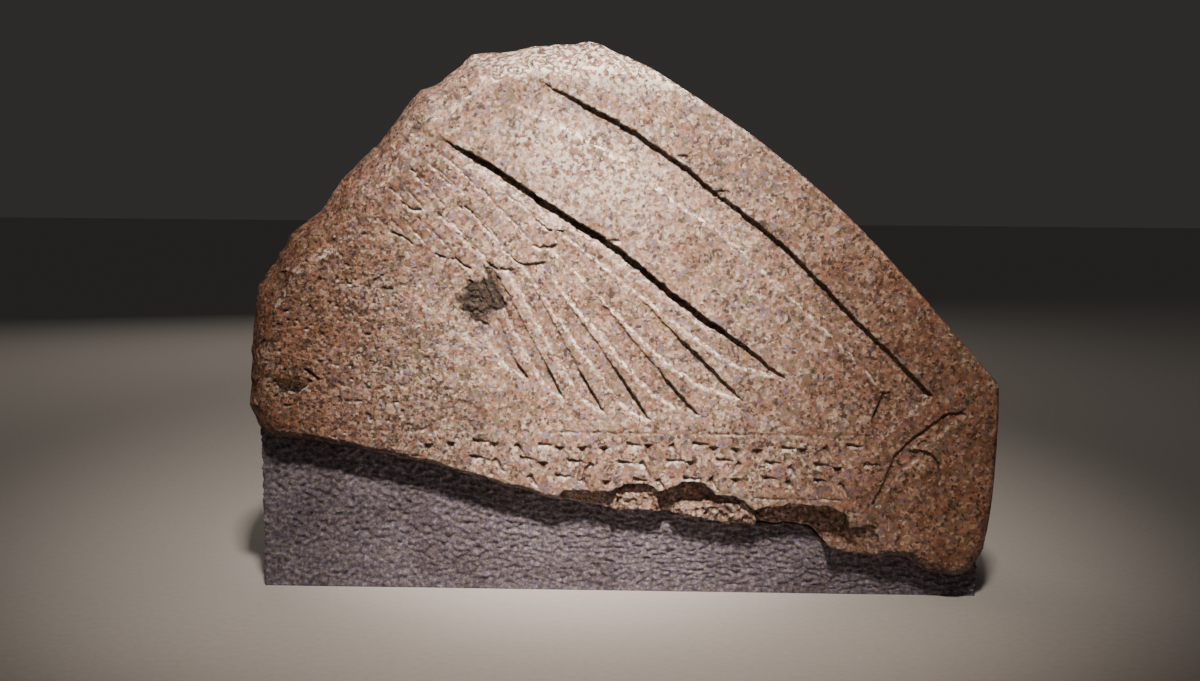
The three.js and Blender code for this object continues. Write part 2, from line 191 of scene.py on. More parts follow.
# ---------- The carved face ----------


@dataclass(frozen=True)
class Feather:
    """One feather, sunk into the face, with a straight upper edge and a curved tip."""

    tip: Point
    angle: float
    width: float
    length: float
    tip_length: float
    deep: float
    meeting: float


@dataclass(frozen=True)
class Tier:
    """How deep one tier of feathers is cut: each pair is the depth at the tip and the depth behind it."""

    upper: Point
    middle: Point
    lower: Point
    lip: Point
    lip_width: float
    fall: float
    fade: float = 24.0

    def sections(self, feather: Feather) -> np.ndarray:
        """Cross-sections of a feather, from its tip to its root.

        Args:
            feather: The feather to cut.

        Returns:
            One row a section, as Face.sweep takes them.
        """
        turn = math.radians(feather.angle)
        back = np.array([-math.cos(turn), math.sin(turn)])
        across = np.array([-math.sin(turn), -math.cos(turn)])
        curved = feather.tip_length * np.linspace(0, 1, 14) ** 1.6
        stations = np.concatenate(
            [curved, np.arange(feather.tip_length + 8, feather.length, 12), [feather.length]]
        )
        rows = []
        for s in stations:
            wide = max(0.8, feather.width * (1 - (1 - min(s / feather.tip_length, 1)) ** 2))
            alive = float(np.clip((feather.length - s) / self.fade, 0, 1))
            behind = [
                float(smoothstep(np.array(s), 0.8 * limit, limit + self.fade / 2))
                for limit in (feather.deep, feather.deep, feather.meeting, feather.meeting)
            ]
            pairs = (self.upper, self.middle, self.lower, self.lip)
            depths = [alive * (a + (b - a) * t) for (a, b), t in zip(pairs, behind)]
            top = np.array(feather.tip) + back * s
            lip = min(self.lip_width, 0.6 * wide)
            rows.append([*top, *(top + across * wide), *depths, lip, self.fall * (wide - lip)])
        return np.array(rows)


@dataclass(frozen=True)
class Flake:
    """A flake lost from the face."""

    x: float
    z: float
    half_width: float
    half_height: float
    depth: float


@dataclass
class Face:
    """The carved face as depths behind its flat plane, on a fine grid."""

    left: float = -592.0
    right: float = 592.0
    low: float = 22.0
    high: float = 872.0
    pitch: float = 0.8
    wander: tuple[Point, ...] = ((21, 1.0), (6.5, 1.4))  # how long and how wide the chisel's wander is

    def __post_init__(self) -> None:
        """Lay out the grid, and the slightly wandering coordinates that the chisel followed."""
        xs = np.arange(self.left, self.right, self.pitch, dtype=np.float32)
        zs = np.arange(self.low, self.high, self.pitch, dtype=np.float32)
        self.x, self.z = np.meshgrid(xs, zs)
        self.hand_x, self.hand_z = self.x.copy(), self.z.copy()
        for seed, (cell, shift) in enumerate(self.wander, 11):
            self.hand_x += shift * Noise(seed).at(cell, self.x, self.z)
            self.hand_z += shift * Noise(seed + 2).at(cell, self.x, self.z)
        self.cut = np.zeros(self.x.shape, np.float32)

    def window(self, xs: Iterable[float], zs: Iterable[float], margin: float = 4.0) -> tuple[slice, slice]:
        """The part of the grid that surrounds some points."""
        columns = [int((v - self.left) / self.pitch) for v in (min(xs) - margin, max(xs) + margin)]
        rows = [int((v - self.low) / self.pitch) for v in (min(zs) - margin, max(zs) + margin)]
        return slice(max(rows[0], 0), max(rows[1], 1)), slice(max(columns[0], 0), max(columns[1], 1))

    def sweep(self, sections: np.ndarray) -> tuple[np.ndarray, np.ndarray]:
        """Depths of a cut that runs through cross-sections.

        Args:
            sections: One row a section: upper x, z, lower x, z, the depths at the upper edge, where the floor
                falls to the lip, at the foot of the lip and at the lower edge, and the widths of the lip and of
                that fall.

        Returns:
            The depth at each grid point, and whether the cut reaches it.
        """
        depth = np.zeros(self.x.shape, np.float32)
        inside = np.zeros(self.x.shape, bool)
        for a, b in zip(sections[:-1], sections[1:]):
            part = self.window((a[0], a[2], b[0], b[2]), (a[1], a[3], b[1], b[3]))
            px, pz = self.hand_x[part].astype(float) - a[0], self.hand_z[part].astype(float) - a[1]
            ex, ez = b[:2] - a[:2]
            fx, fz = a[2:4] - a[:2]
            gx, gz = a[:2] - b[:2] + b[2:4] - a[2:4]
            k2 = gx * fz - gz * fx
            k1 = (ex * fz - ez * fx) + (px * gz - pz * gx)
            k0 = px * ez - pz * ex
            root = np.sqrt(np.maximum(k1 * k1 - 4 * k0 * k2, 0))
            q = -0.5 * (k1 + np.where(k1 < 0, -root, root))
            v = k0 / np.where(np.abs(q) < 1e-9, 1e-9, q)
            v = np.where((v < -1e-3) | (v > 1.001), q / (k2 if abs(k2) > 1e-9 else 1e-9), v)
            wide_x, wide_z = ex + gx * v, ez + gz * v
            t = ((px - fx * v) * wide_x + (pz - fz * v) * wide_z) / np.maximum(wide_x**2 + wide_z**2, 1e-9)
            hit = (v >= -1e-3) & (v <= 1.001) & (t >= -1e-3) & (t <= 1.001)
            wide = (1 - t) * math.hypot(fx, fz) + t * math.hypot(*(b[2:4] - b[:2]))
            upper, middle, foot, edge, lip, fall = [(1 - t) * a[k] + t * b[k] for k in range(4, 10)]
            across = v * wide
            floor = np.maximum(wide - lip - fall, 1e-3)
            first = upper + (middle - upper) * across / floor
            second = middle + (foot - middle) * (across - floor) / np.maximum(fall, 1e-3)
            third = foot + (edge - foot) * (across - floor - fall) / np.maximum(lip, 1e-3)
            value = np.where(across < floor, first, np.where(across < floor + fall, second, third))
            depth[part] = np.where(hit, np.maximum(depth[part], value), depth[part])
            inside[part] |= hit
        return depth, inside

    def deepen(self, depth: np.ndarray) -> None:
        """Cut down to the given depths where the face isn't that deep yet."""
        np.maximum(self.cut, depth, out=self.cut)

    def band(
        self,
        upper: Sequence[Point],
        lower: Sequence[Point],
        depths: tuple[float, float],
        lip: float,
        fade: float = 0.0,
        count: int = 60,
    ) -> tuple[np.ndarray, np.ndarray]:
        """Sweep a sunk band between two curves.

        Args:
            upper: Points on the upper curve.
            lower: Points on the lower curve.
            depths: The depth under the upper curve and at the foot of the lip.
            lip: The width of the slope up to the lower curve.
            fade: The share of the length over which the band deepens.
            count: How many sections to use.

        Returns:
            As for sweep.
        """
        tops, lows = spaced(upper, count), spaced(lower, count)
        share = np.clip((np.arange(count) + 0.1) / (fade * count + 0.1), 0, 1)
        middle = sum(depths) / 2
        wide = np.hypot(*(tops - lows).T)
        lips = np.minimum(lip, 0.8 * wide)
        rows = np.column_stack([depths[0] * share, middle * share, depths[1] * share, 0 * share])
        return self.sweep(np.column_stack([tops, lows, rows, lips, (wide - lips) / 2]))

    def stroke(self, x: float, z: float, turn: float, head: float, length: float, depth: float) -> None:
        """Press one wedge-shaped stroke: a broad head, and a tail that runs out to a point.

        Args:
            x: The middle of its head.
            z: The middle of its head.
            turn: Its direction in degrees, 0 for down.
            head: The head's width.
            length: The stroke's length.
            depth: How deep the head is.
        """
        angle = math.radians(turn)
        heel, lift = 0.16 * head, 0.24 * head * abs(math.sin(angle))
        place = [(-head / 2, 0.0), (head / 2, 0.0), (0.0, length)]
        corners = [
            (x + s * math.cos(angle) + d * math.sin(angle), z + s * math.sin(angle) - d * math.cos(angle))
            for s, d in place
        ]
        bottom = (x + heel * math.sin(angle), z - heel * math.cos(angle) + lift)
        part = self.window([c[0] for c in corners], [c[1] for c in corners])
        px, pz = self.hand_x[part], self.hand_z[part]
        level = np.full(px.shape, 1.0, np.float32)
        for k in range(3):
            (ax, az), (bx, bz) = corners[k], corners[(k + 1) % 3]
            here = (bx - ax) * (pz - az) - (bz - az) * (px - ax)
            there = (bx - ax) * (bottom[1] - az) - (bz - az) * (bottom[0] - ax)
            level = np.minimum(level, here / there)
        self.cut[part] = np.maximum(self.cut[part], depth * np.clip(1.25 * level, 0, 1))

    def groove(self, z: float, left: float, right: float, width: float, depth: float) -> None:
        """Cut a shallow ruled line."""
        part = self.window((left, right), (z,))
        off = np.abs(self.hand_z[part] - z) / (width / 2)
        ends = smoothstep(self.x[part], left - 2, left + 2) * smoothstep(
            -self.x[part], -right - 2, -right + 2
        )
        worn = 0.75 + 0.45 * Noise(31).at(40, self.x[part], self.z[part])
        self.cut[part] = np.maximum(self.cut[part], depth * worn * ends * np.clip(1 - off, 0, 1))

    def flake(self, lost: Flake, seed: int) -> np.ndarray:
        """Depths of a broken-out flake, with a ragged edge and an uneven floor."""
        depth = np.zeros(self.x.shape, np.float32)
        reach = max(lost.half_width, lost.half_height) * 1.5
        part = self.window((lost.x - reach, lost.x + reach), (lost.z - reach, lost.z + reach))
        px, pz = self.x[part], self.z[part]
        ragged = 1 + 0.24 * Noise(seed).at(26, px, pz) + 0.10 * Noise(seed + 1).at(8, px, pz)
        r = np.hypot((px - lost.x) / lost.half_width, (pz - lost.z) / lost.half_height) / ragged
        steps = 0.16 * Noise(seed + 2).at(16, px, pz) + 0.08 * Noise(seed + 3).at(6, px, pz)
        bowl = np.sqrt(np.clip(1 - r**2, 0, 1))
        depth[part] = lost.depth * np.clip(bowl * (1 + steps), 0, 1.2)
        return depth


@dataclass(frozen=True)
class Facets:
    """Flat facets with sharp edges, as broken granite has."""

    seed: int
    cell: float

    def at(self, x: np.ndarray, z: np.ndarray) -> np.ndarray:
        """Heights between about -1 and 1, each facet tilted its own way.

        Args:
            x: Where to look, along the face.
            z: Where to look, up the face.

        Returns:
            The height at each point.
        """
        table = np.random.default_rng(self.seed).uniform(-1, 1, (1024, 4)).astype(np.float32)
        cx, cz = np.floor(x / self.cell).astype(np.int64), np.floor(z / self.cell).astype(np.int64)
        best = np.full(x.shape, 9.0, np.float32)
        height = np.zeros(x.shape, np.float32)
        for i in (-1, 0, 1):
            for j in (-1, 0, 1):
                draw = table[((cx + i) * 73856093 ^ (cz + j) * 19349663) & 1023]
                dx = x / self.cell - (cx + i) - 0.5 - 0.45 * draw[..., 0]
                dz = z / self.cell - (cz + j) - 0.5 - 0.45 * draw[..., 1]
                far = dx * dx + dz * dz
                here = 0.9 * (draw[..., 2] * dx + draw[..., 3] * dz) + 0.35 * draw[..., 2]
                height = np.where(far < best, here, height)
                best = np.minimum(best, far)
        return height


@dataclass(frozen=True)
class Carving:
    """What the sculptor cut into the face."""

    sky_upper: tuple[Point, ...] = (
        (-146, 811), (-90, 782), (0, 735), (80, 684), (160, 622), (250, 552), (340, 462), (420, 385), (
            478,
            326,
        ),
    )
    sky_lower: tuple[Point, ...] = (
        (-192, 772), (-140, 750), (-60, 712), (0, 676), (80, 618), (160, 562), (240, 489), (330, 407), (
            403,
            332,
        ),
    )
    contour: tuple[Point, ...] = (
        (-274, 713), (-233, 693), (-189, 668), (-100, 609), (-15, 557), (76, 485), (172, 414), (252, 353),
    )
    contour_depths: tuple[float, float, float] = (17.0, 12.0, 3.2)
    contour_slope: float = 30.0
    primaries: tuple[Feather, ...] = (
        Feather((252, 352), 37.5, 38, 560, 120, 200, 185),
        Feather((190, 316), 44.5, 45, 400, 140, 144, 125),
        Feather((122, 292), 49, 36, 350, 100, 84, 148),
        Feather((50, 283), 54.5, 28, 325, 65, 105, 125),
        Feather((-24, 294), 61, 24, 285, 60, 72, 105),
        Feather((-85, 315), 62, 20, 245, 50, 55, 79),
        Feather((-140, 345), 55, 21, 150, 50, 28, 60),
    )
    coverts: tuple[Feather, ...] = (
        Feather((-69, 582), 37, 28, 175, 34, 34, 34),
        Feather((-96, 555), 46, 30, 165, 32, 32, 32),
        Feather((-113, 527), 48, 34, 150, 38, 38, 38),
        Feather((-160, 518), 46, 26, 140, 36, 36, 36),
        Feather((-207, 516), 47, 23, 130, 45, 45, 45),
        Feather((-254, 531), 47, 19, 110, 42, 42, 42),
        Feather((-291, 547), 47, 17, 85, 38, 38, 38),
        Feather((-324, 566), 46, 17, 60, 34, 34, 34),
    )
    lesser_coverts: tuple[Feather, ...] = (
        Feather((-189, 668), 37.5, 38, 108, 25, 25, 25),
        Feather((-222, 641), 41.5, 23, 92, 20, 20, 20),
        Feather((-240, 612), 48, 21, 95, 22, 22, 22),
        Feather((-270, 598), 50, 20, 80, 22, 22, 22),
        Feather((-302, 607), 50, 17, 58, 22, 22, 22),
    )
    primary_tier: Tier = Tier((8.6, 3.0), (5.6, 4.4), (6.8, 6.8), (0, 2.2), 4.0, 0.4)
    covert_tier: Tier = Tier((1.0, 1.4), (1.2, 1.8), (2.0, 4.8), (0.4, 0.6), 2.6, 0.09)
    covert_shadow: Point = (4.0, 5.5)
    worn_feathers: tuple[tuple[Point, ...], tuple[Point, ...]] = (
        ((-215, 520), (-290, 549), (-350, 575)), ((-150, 342), (-240, 407), (-330, 485)),
    )
    worn_depth: float = 2.6
    sky_depths: Point = (9.6, 5.0)
    sky_lip: float = 5.4
    point_depths: Point = (8, 6)
    point_lip: float = 8.0
    sceptre_depths: Point = (6, 4)
    sceptre_lip: float = 3.2
    rule_width: float = 3.8
    rule_depth: float = 2.8
    rules: tuple[tuple[float, float, float], ...] = ((264, -435, 387), (163, 190, 387))
    rows: tuple[tuple[float, float, float, float, tuple[float, ...]], ...] = (
        (244, -296, 376, 34, (0, 0, 90, 0, 35, 90, 0)),
        (218, -232, 376, 38, (90, 35, 90, 0, 90, -35)),
        (192, -140, 376, 40, (35, 90, 35, 0, 90)),
    )
    strokes: dict[bool, tuple[float, float, float]] = field(
        default_factory=lambda: {True: (20.0, 26.0, 8.0), False: (13.0, 38.0, 6.4)}
    )

    def cut_into(self, face: Face) -> None:
        """Cut everything into the face: the wing, the sky sign, the sceptre and the inscription."""
        self.cut_wing(face)
        self.cut_sky(face)
        self.cut_sceptre(face)
        self.cut_inscription(face)

    def cut_sky(self, face: Face) -> None:
        """Cut the sky sign, a sunk band that ends in a hanging point."""
        face.deepen(face.band(self.sky_upper, self.sky_lower, self.sky_depths, self.sky_lip, 0.14, 70)[0])
        point = ((403, 332), (388, 285), (393, 250)), ((478, 326), (436, 288), (394, 250))
        face.deepen(face.band(*point, self.point_depths, self.point_lip, count=24)[0])

    def cut_wing(self, face: Face) -> None:
        """Cut the feathers, each shown only where no earlier one lies over it, and the contour above them."""
        covered = np.zeros(face.cut.shape, bool)
        tiers = [(f, self.covert_tier) for f in (*self.lesser_coverts, *self.coverts)]
        tiers += [(f, self.primary_tier) for f in self.primaries]
        wing = np.zeros(face.cut.shape, np.float32)
        for k, (feather, tier) in enumerate(tiers):
            depth, inside = face.sweep(tier.sections(feather))
            wing = np.where(inside & ~covered, np.maximum(wing, depth), wing)
            covered |= inside
            if k == len(self.lesser_coverts) + len(self.coverts) - 1:
                reach = round(self.covert_shadow[0] / face.pitch)
                under = np.roll(covered, -reach, 0) & ~covered
        bitten = self.covert_shadow[1] * smoothstep(Noise(33).layered(24, 2, face.x, face.z), -0.55, -0.1)
        wing = np.where(under, np.maximum(wing, bitten), wing)
        depth, _ = face.band(*self.worn_feathers, (self.worn_depth, self.worn_depth), 6, count=12)
        wing = np.where(covered, wing, np.maximum(wing, depth))
        line = spaced(self.contour, 40)
        limit = np.interp(face.hand_x, [-340, *line[:, 0]], [735, *line[:, 1]])
        wing[face.hand_z > limit] = 0
        face.deepen(wing)
        steps = len(line)
        share = np.minimum(
            1, np.minimum(np.arange(steps) / 4 + 0.1, (steps - 1 - np.arange(steps)) / 9 + 0.05)
        )
        slope = self.contour_slope * share
        lower_line = line - np.column_stack([0.6 * slope, 0.8 * slope])
        depths = np.column_stack([depth * share for depth in (*self.contour_depths, 0)])
        groove, _ = face.sweep(np.column_stack([line, lower_line, depths, 0.3 * slope + 0.1, 0.4 * slope]))
        face.deepen(groove * (1 + 0.22 * Noise(35).layered(9, 2, face.x, face.z)))

    def cut_sceptre(self, face: Face) -> None:
        """Cut the sceptre's head, with its snout, cheek and ears, and the shaft under it."""
        snout = ((391, 156), (413, 202), (427, 238), (456, 243)), (
            (405, 152), (424, 190), (443, 214), (458, 223)
        )
        cheek = (
            ((493, 110), (495, 160), (493, 219), (480, 239), (458, 243), (427, 236)),
            ((470, 110), (472, 160), (473, 204), (468, 219), (458, 223), (431, 205)),
        )
        ear = (
            ((423, 226), (433, 245), (456, 266), (480, 285), (505, 302)),
            ((432, 222), (446, 239), (466, 257), (490, 277), (520, 301)),
        )
        forelock = (
            ((456, 249), (470, 262), (497, 286), (523, 305)),
            ((464, 243), (478, 252), (505, 278), (531, 299)),
        )
        for (upper, lower), fade in ((snout, 0.0), (cheek, 0.6), (ear, 0.0), (forelock, 0.0)):
            face.deepen(face.band(upper, lower, self.sceptre_depths, self.sceptre_lip, fade, 30)[0])

    def cut_inscription(self, face: Face) -> None:
        """Press the rows of strokes between their ruled lines. They spell nothing."""
        for z, left, right in self.rules:
            face.groove(z, left, right, self.rule_width, self.rule_depth)
        for row, (z, left, right, pitch, turns) in enumerate(self.rows):
            for i in range(int((right - left) / pitch) + 1):
                up = z + 3 * math.sin(7 * i + row)
                turn = turns[i % len(turns)]
                face.stroke(left + pitch * i, up, turn, *self.strokes[turn == 0])


@dataclass(frozen=True)
class Outline:
    """The slab's outline, counter-clockwise from the front: x, z, bevel width and bevel depth."""

    foot: tuple[tuple[float, ...], ...] = (
        (-566, 262, 30, 30), (-535, 247, 16, 20), (-450, 240, 10, 14), (-360, 225, 8, 12), (-270, 204, 8, 12),
        (-180, 176, 8, 12), (-100, 158, 8, 12), (-20, 143, 10, 14), (90, 137, 10, 14), (165, 123, 10, 14),
        (235, 116, 10, 14), (298, 115, 10, 14), (335, 82, 10, 14), (405, 69, 12, 16), (450, 73, 12, 16),
        (478, 47, 14, 18), (525, 38, 18, 24), (556, 46, 26, 34),
    )
    right: tuple[tuple[float, ...], ...] = (
        (572, 85, 18, 26), (579, 170, 9, 12), (582, 280, 7, 9), (581, 345, 8, 10)
    )
    arch: tuple[tuple[float, ...], ...] = (
        (460, 479, 6, 7), (340, 603, 6, 7), (200, 717, 6, 7), (50, 815, 10, 12)
    )
    top: tuple[tuple[float, ...], ...] = (
        (0, 841, 30, 36), (-52, 860, 48, 52), (-130, 853, 48, 52), (-232, 840, 56, 60)
    )
    left: tuple[tuple[float, ...], ...] = (
        (-278, 800, 52, 60), (-312, 787, 50, 60), (-337, 758, 52, 64), (-385, 702, 60, 70), (
            -440, 646, 64, 75
        ),
        (-478, 592, 66, 78), (-520, 560, 60, 75), (-548, 515, 55, 70), (-572, 485, 45, 60), (
            -577, 400, 32, 45
        ),
        (-578, 340, 30, 40), (-581.2, 295, 32, 40),
    )
    step: float = 5.0
    roughness: float = 4.0

    def ring(self) -> np.ndarray:
        """Points round the outline.

        Returns:
            One row a point: x, z, bevel width, bevel depth, how broken it is, and the outward direction.
        """
        stretches = (self.foot, self.right, self.arch, self.top, self.left)
        stations = [
            (s, k in (0, 3, 4), s in self.arch) for k, stretch in enumerate(stretches) for s in stretch
        ]
        count = len(stations)
        rows = []
        for i, (here, broken, smooth) in enumerate(stations):
            (there, next_broken, next_smooth) = stations[(i + 1) % count]
            a, b, c, d = (np.array(stations[(i + k) % count][0][:2]) for k in (-1, 0, 1, 2))
            steps = max(1, round(float(np.hypot(*(c - b))) / self.step))
            for t in np.arange(steps) / steps:
                at = b + (c - b) * t
                if smooth and next_smooth:
                    at = between(a, b, c, d, t)
                bevel = np.array(here[2:]) * (1 - t) + np.array(there[2:]) * t
                rows.append([*at, *bevel, float(broken and next_broken)])
        ring = np.array(rows)
        ring[:, 4] = np.convolve(np.tile(ring[:, 4], 3), np.ones(9) / 9, "same")[len(ring) : 2 * len(ring)]
        along = np.roll(ring[:, :2], -3, 0) - np.roll(ring[:, :2], 3, 0)
        outward = np.column_stack([along[:, 1], -along[:, 0]]) / np.hypot(*along.T)[:, None]
        rough = Noise(41).layered(38, 4, ring[:, 0], ring[:, 1]) * self.roughness * (0.2 + ring[:, 4])
        ring[:, :2] += outward * rough[:, None]
        return np.column_stack([ring, outward])


# ---------- Meshes ----------


def make_mesh(
    name: str, points: np.ndarray, faces: Sequence[Sequence[int]], masks: dict[str, np.ndarray]
) -> Any:
    """Make a smooth-shaded object with its faces out.

    Args:
        name: The object's name.
        points: The vertices, in millimetres.
        faces: The vertex indices of each face.
        masks: One value a vertex for each named attribute.

    Returns:
        The new object.
    """
    mesh = bpy.data.meshes.new(name)
    mesh.from_pydata((points * MM).tolist(), [], faces)
    for mask, values in masks.items():
        mesh.attributes.new(mask, "FLOAT", "POINT").data.foreach_set("value", values.astype(np.float32))
    made = bmesh.new()
    made.from_mesh(mesh)
    bmesh.ops.recalc_face_normals(made, faces=made.faces)
    if made.calc_volume(signed=True) < 0:
        bmesh.ops.reverse_faces(made, faces=made.faces)
    made.to_mesh(mesh)
    made.free()
    mesh.shade_smooth()
    piece = bpy.data.objects.new(name, mesh)
    bpy.context.scene.collection.objects.link(piece)
    return piece


def filled(ring: np.ndarray, inner: np.ndarray) -> tuple[np.ndarray, list[list[int]]]:
    """Triangulate the inside of a closed ring through inner points.

    Args:
        ring: The ring's 2-D points, in order.
        inner: More 2-D points inside it.

    Returns:
        The points, the ring's first, and the triangles.
    """
    flat = [Vector(p) for p in np.vstack([ring, inner]).tolist()]
    size = len(ring)
    points, _, faces, origins, _, _ = delaunay_2d_cdt(flat, [], [list(range(size))], 1, 1e-5)
    home = [min(o) if o else -1 for o in origins]
    extra = iter(range(len(flat), len(flat) + len(points)))
    index = [h if h >= 0 else next(extra) for h in home]
    total = np.zeros((max(max(index) + 1, len(flat)), 2))
    total[: len(flat)] = [p[:] for p in flat]
    for k, p in zip(index, points):
        total[k] = p[:]
    return total, [[index[k] for k in face] for face in faces]


def inside_ring(x: np.ndarray, z: np.ndarray, ring: np.ndarray) -> np.ndarray:
    """Whether points lie inside a closed ring."""
    inside = np.zeros(x.shape, bool)
    for (ax, az), (bx, bz) in zip(ring, np.roll(ring, -1, 0)):
        crosses = (az > z) != (bz > z)
        if az != bz:
            inside ^= crosses & (x < (bx - ax) * (z - az) / (bz - az) + ax)
    return inside


def from_ring(x: np.ndarray, z: np.ndarray, ring: np.ndarray) -> tuple[np.ndarray, np.ndarray]:
    """Distance from points to a ring of points.

    Args:
        x: Where to measure from.
        z: Where to measure from.
        ring: The ring's rows, x and z first.

    Returns:
        The distance, and the index of the nearest row.
    """
    far = np.full(x.shape, 1e9, np.float32)
    nearest = np.zeros(x.shape, np.int32)
    for k, row in enumerate(ring):
        here = (x - row[0]) ** 2 + (z - row[1]) ** 2
        closer = here < far
        far[closer] = here[closer]
        nearest[closer] = k
    return np.sqrt(far), nearest


# ---------- Geometry Nodes ----------


def node(
    tree: Any, kind: str, settings: dict[str, Any] | None = None, links: dict[Any, Any] | None = None
) -> Any:
    """Add a node to a tree, with its settings and links.

    Args:
        tree: A shader or geometry node tree.
        kind: The node's type name.
        settings: Attributes to set. A key that starts with '=' sets the input of that name or index, 'stops'
            fills a colour ramp and 'steps' fills one that changes abruptly.
        links: For each input name or index, the socket, or the node whose first output, feeds it; or else its
            value.

    Returns:
        The new node.
    """
    made = tree.nodes.new(kind)
    fixed = {}
    for key, value in (settings or {}).items():
        if key in ("stops", "steps"):
            band = made.color_ramp
            band.interpolation = "CONSTANT" if key == "steps" else "LINEAR"
            while len(band.elements) < len(value):
                band.elements.new(1.0)
            for element, (position, colour) in zip(band.elements, value):
                element.position, element.color = position, srgb(colour)
        elif key.startswith("="):
            fixed[int(key[1:]) if key[1:].isdigit() else key[1:]] = value
        else:
            setattr(made, key, value)
    for key, source in {**fixed, **(links or {})}.items():
        if isinstance(source, bpy.types.Node):
            tree.links.new(source.outputs[0], made.inputs[key])
        elif isinstance(source, bpy.types.NodeSocket):
            tree.links.new(source, made.inputs[key])
        else:
            made.inputs[key].default_value = srgb(source) if str(source).startswith("#") else source
    return made


@dataclass(frozen=True)
class StoneSkin:
    """A Geometry Nodes tree that roughens a stone along its normals, with long tool ridges and fine grain."""

    seed: float
    ridge_height: float
    ridge_length: float
    ridge_spacing: float
    grain_height: float
    grain_size: float
    mask: str

    def inputs(self) -> dict[str, float]:
        """What the tree's inputs are set to, with lengths in metres.

        Returns:
            The values by the inputs' names.
        """
        lengths = {
            "Ridge height": self.ridge_height,
            "Ridge length": self.ridge_length,
            "Ridge spacing": self.ridge_spacing,
            "Grain height": self.grain_height,
            "Grain size": self.grain_size,
        }
        return {"Seed": self.seed, **{name: length * MM for name, length in lengths.items()}}

    def tree(self, material: Any) -> Any:
        """Build the tree.

        Args:
            material: What the roughened surface is made of.

        Returns:
            The node group.
        """
        group = bpy.data.node_groups.new("stone_skin", "GeometryNodeTree")
        face = group.interface
        face.new_socket("Geometry", in_out="INPUT", socket_type="NodeSocketGeometry")
        for name in self.inputs():
            face.new_socket(name, in_out="INPUT", socket_type="NodeSocketFloat")
        face.new_socket("Geometry", in_out="OUTPUT", socket_type="NodeSocketGeometry")
        source = node(group, "NodeGroupInput").outputs
        place = node(group, "GeometryNodeInputPosition")
        here = {"Vector": place, "W": source["Seed"]}
        noise, product = {"noise_dimensions": "4D"}, {"operation": "MULTIPLY"}
        across, up, size = (
            node(group, "ShaderNodeMath", {"operation": "DIVIDE", "=0": 1.0}, {1: source[name]})
            for name in ("Ridge length", "Ridge spacing", "Grain size")
        )
        scale = node(group, "ShaderNodeCombineXYZ", links={0: across, 1: across, 2: up})
        bend = node(group, "ShaderNodeTexNoise", {**noise, "=Scale": 11.0, "=Detail": 1.0}, here)
        lift = node(group, "ShaderNodeMath", {**product, "=1": 0.016}, {0: bend})
        lifted = node(group, "ShaderNodeCombineXYZ", links={2: lift})
        bent = node(group, "ShaderNodeVectorMath", {"operation": "ADD"}, {0: place, 1: lifted})
        stretched = node(group, "ShaderNodeVectorMath", product, {0: bent, 1: scale})
        ridge = node(
            group,
            "ShaderNodeTexNoise",
            {**noise, "=Scale": 1.0, "=Detail": 1.5, "=Roughness": 0.45},
            {**here, "Vector": stretched},
        )
        sharp = node(
            group,
            "ShaderNodeMapRange",
            {"=From Min": 0.32, "=From Max": 0.68, "=To Min": -0.5, "=To Max": 0.5},
            {"Value": ridge},
        )
        grain = node(
            group, "ShaderNodeTexNoise", {**noise, "=Detail": 3.0, "=Roughness": 0.6}, {**here, "Scale": size}
        )
        centred = node(group, "ShaderNodeMath", {"operation": "SUBTRACT", "=1": 0.5}, {0: grain})
        ridges = node(group, "ShaderNodeMath", product, {0: sharp, 1: source["Ridge height"]})
        grains = node(group, "ShaderNodeMath", product, {0: centred, 1: source["Grain height"]})
        total = node(group, "ShaderNodeMath", {"operation": "ADD"}, {0: ridges, 1: grains})
        mask = node(group, "GeometryNodeInputNamedAttribute", {"data_type": "FLOAT", "=Name": self.mask})
        held = node(group, "ShaderNodeMath", product, {0: total, 1: mask.outputs["Attribute"]})
        normal = node(group, "GeometryNodeInputNormal")
        move = node(group, "ShaderNodeVectorMath", {"operation": "SCALE"}, {0: normal, "Scale": held})
        moved = node(group, "GeometryNodeSetPosition", links={"Geometry": source["Geometry"], "Offset": move})
        real = node(group, "GeometryNodeRealizeInstances", links={0: moved})
        done = node(group, "GeometryNodeSetMaterial", {"=Material": material}, {0: real})
        node(group, "NodeGroupOutput", links={0: done})
        return group

    def apply(self, piece: Any, material: Any) -> None:
        """Roughen a piece's mesh and leave it a plain mesh in its material.

        Args:
            piece: The object to roughen.
            material: Its material.
        """
        piece.data.materials.clear()
        piece.data.materials.append(material)
        group = self.tree(material)
        modifier = piece.modifiers.new("skin", "NODES")
        modifier.node_group = group
        values = self.inputs()
        for socket in group.interface.items_tree:
            if socket.in_out == "INPUT" and socket.name in values:
                modifier[socket.identifier] = values[socket.name]
        bpy.context.view_layer.update()
        seen = piece.evaluated_get(bpy.context.evaluated_depsgraph_get())
        mesh = bpy.data.meshes.new_from_object(seen)
        piece.modifiers.remove(modifier)
        old, piece.data = piece.data, mesh
        mesh.name = piece.name
        bpy.data.meshes.remove(old)


# ---------- Finishes ----------


def new_material(name: str) -> tuple[Any, Any, Any]:
    """Start a material.

    Args:
        name: Its name.

    Returns:
        The material, its tree and its Principled shader.
    """
    material = bpy.data.materials.new(name)
    material.use_nodes = True
    tree = material.node_tree
    tree.nodes.clear()
    shader = node(tree, "ShaderNodeBsdfPrincipled")
    node(tree, "ShaderNodeOutputMaterial", links={"Surface": shader})
    return material, tree, shader


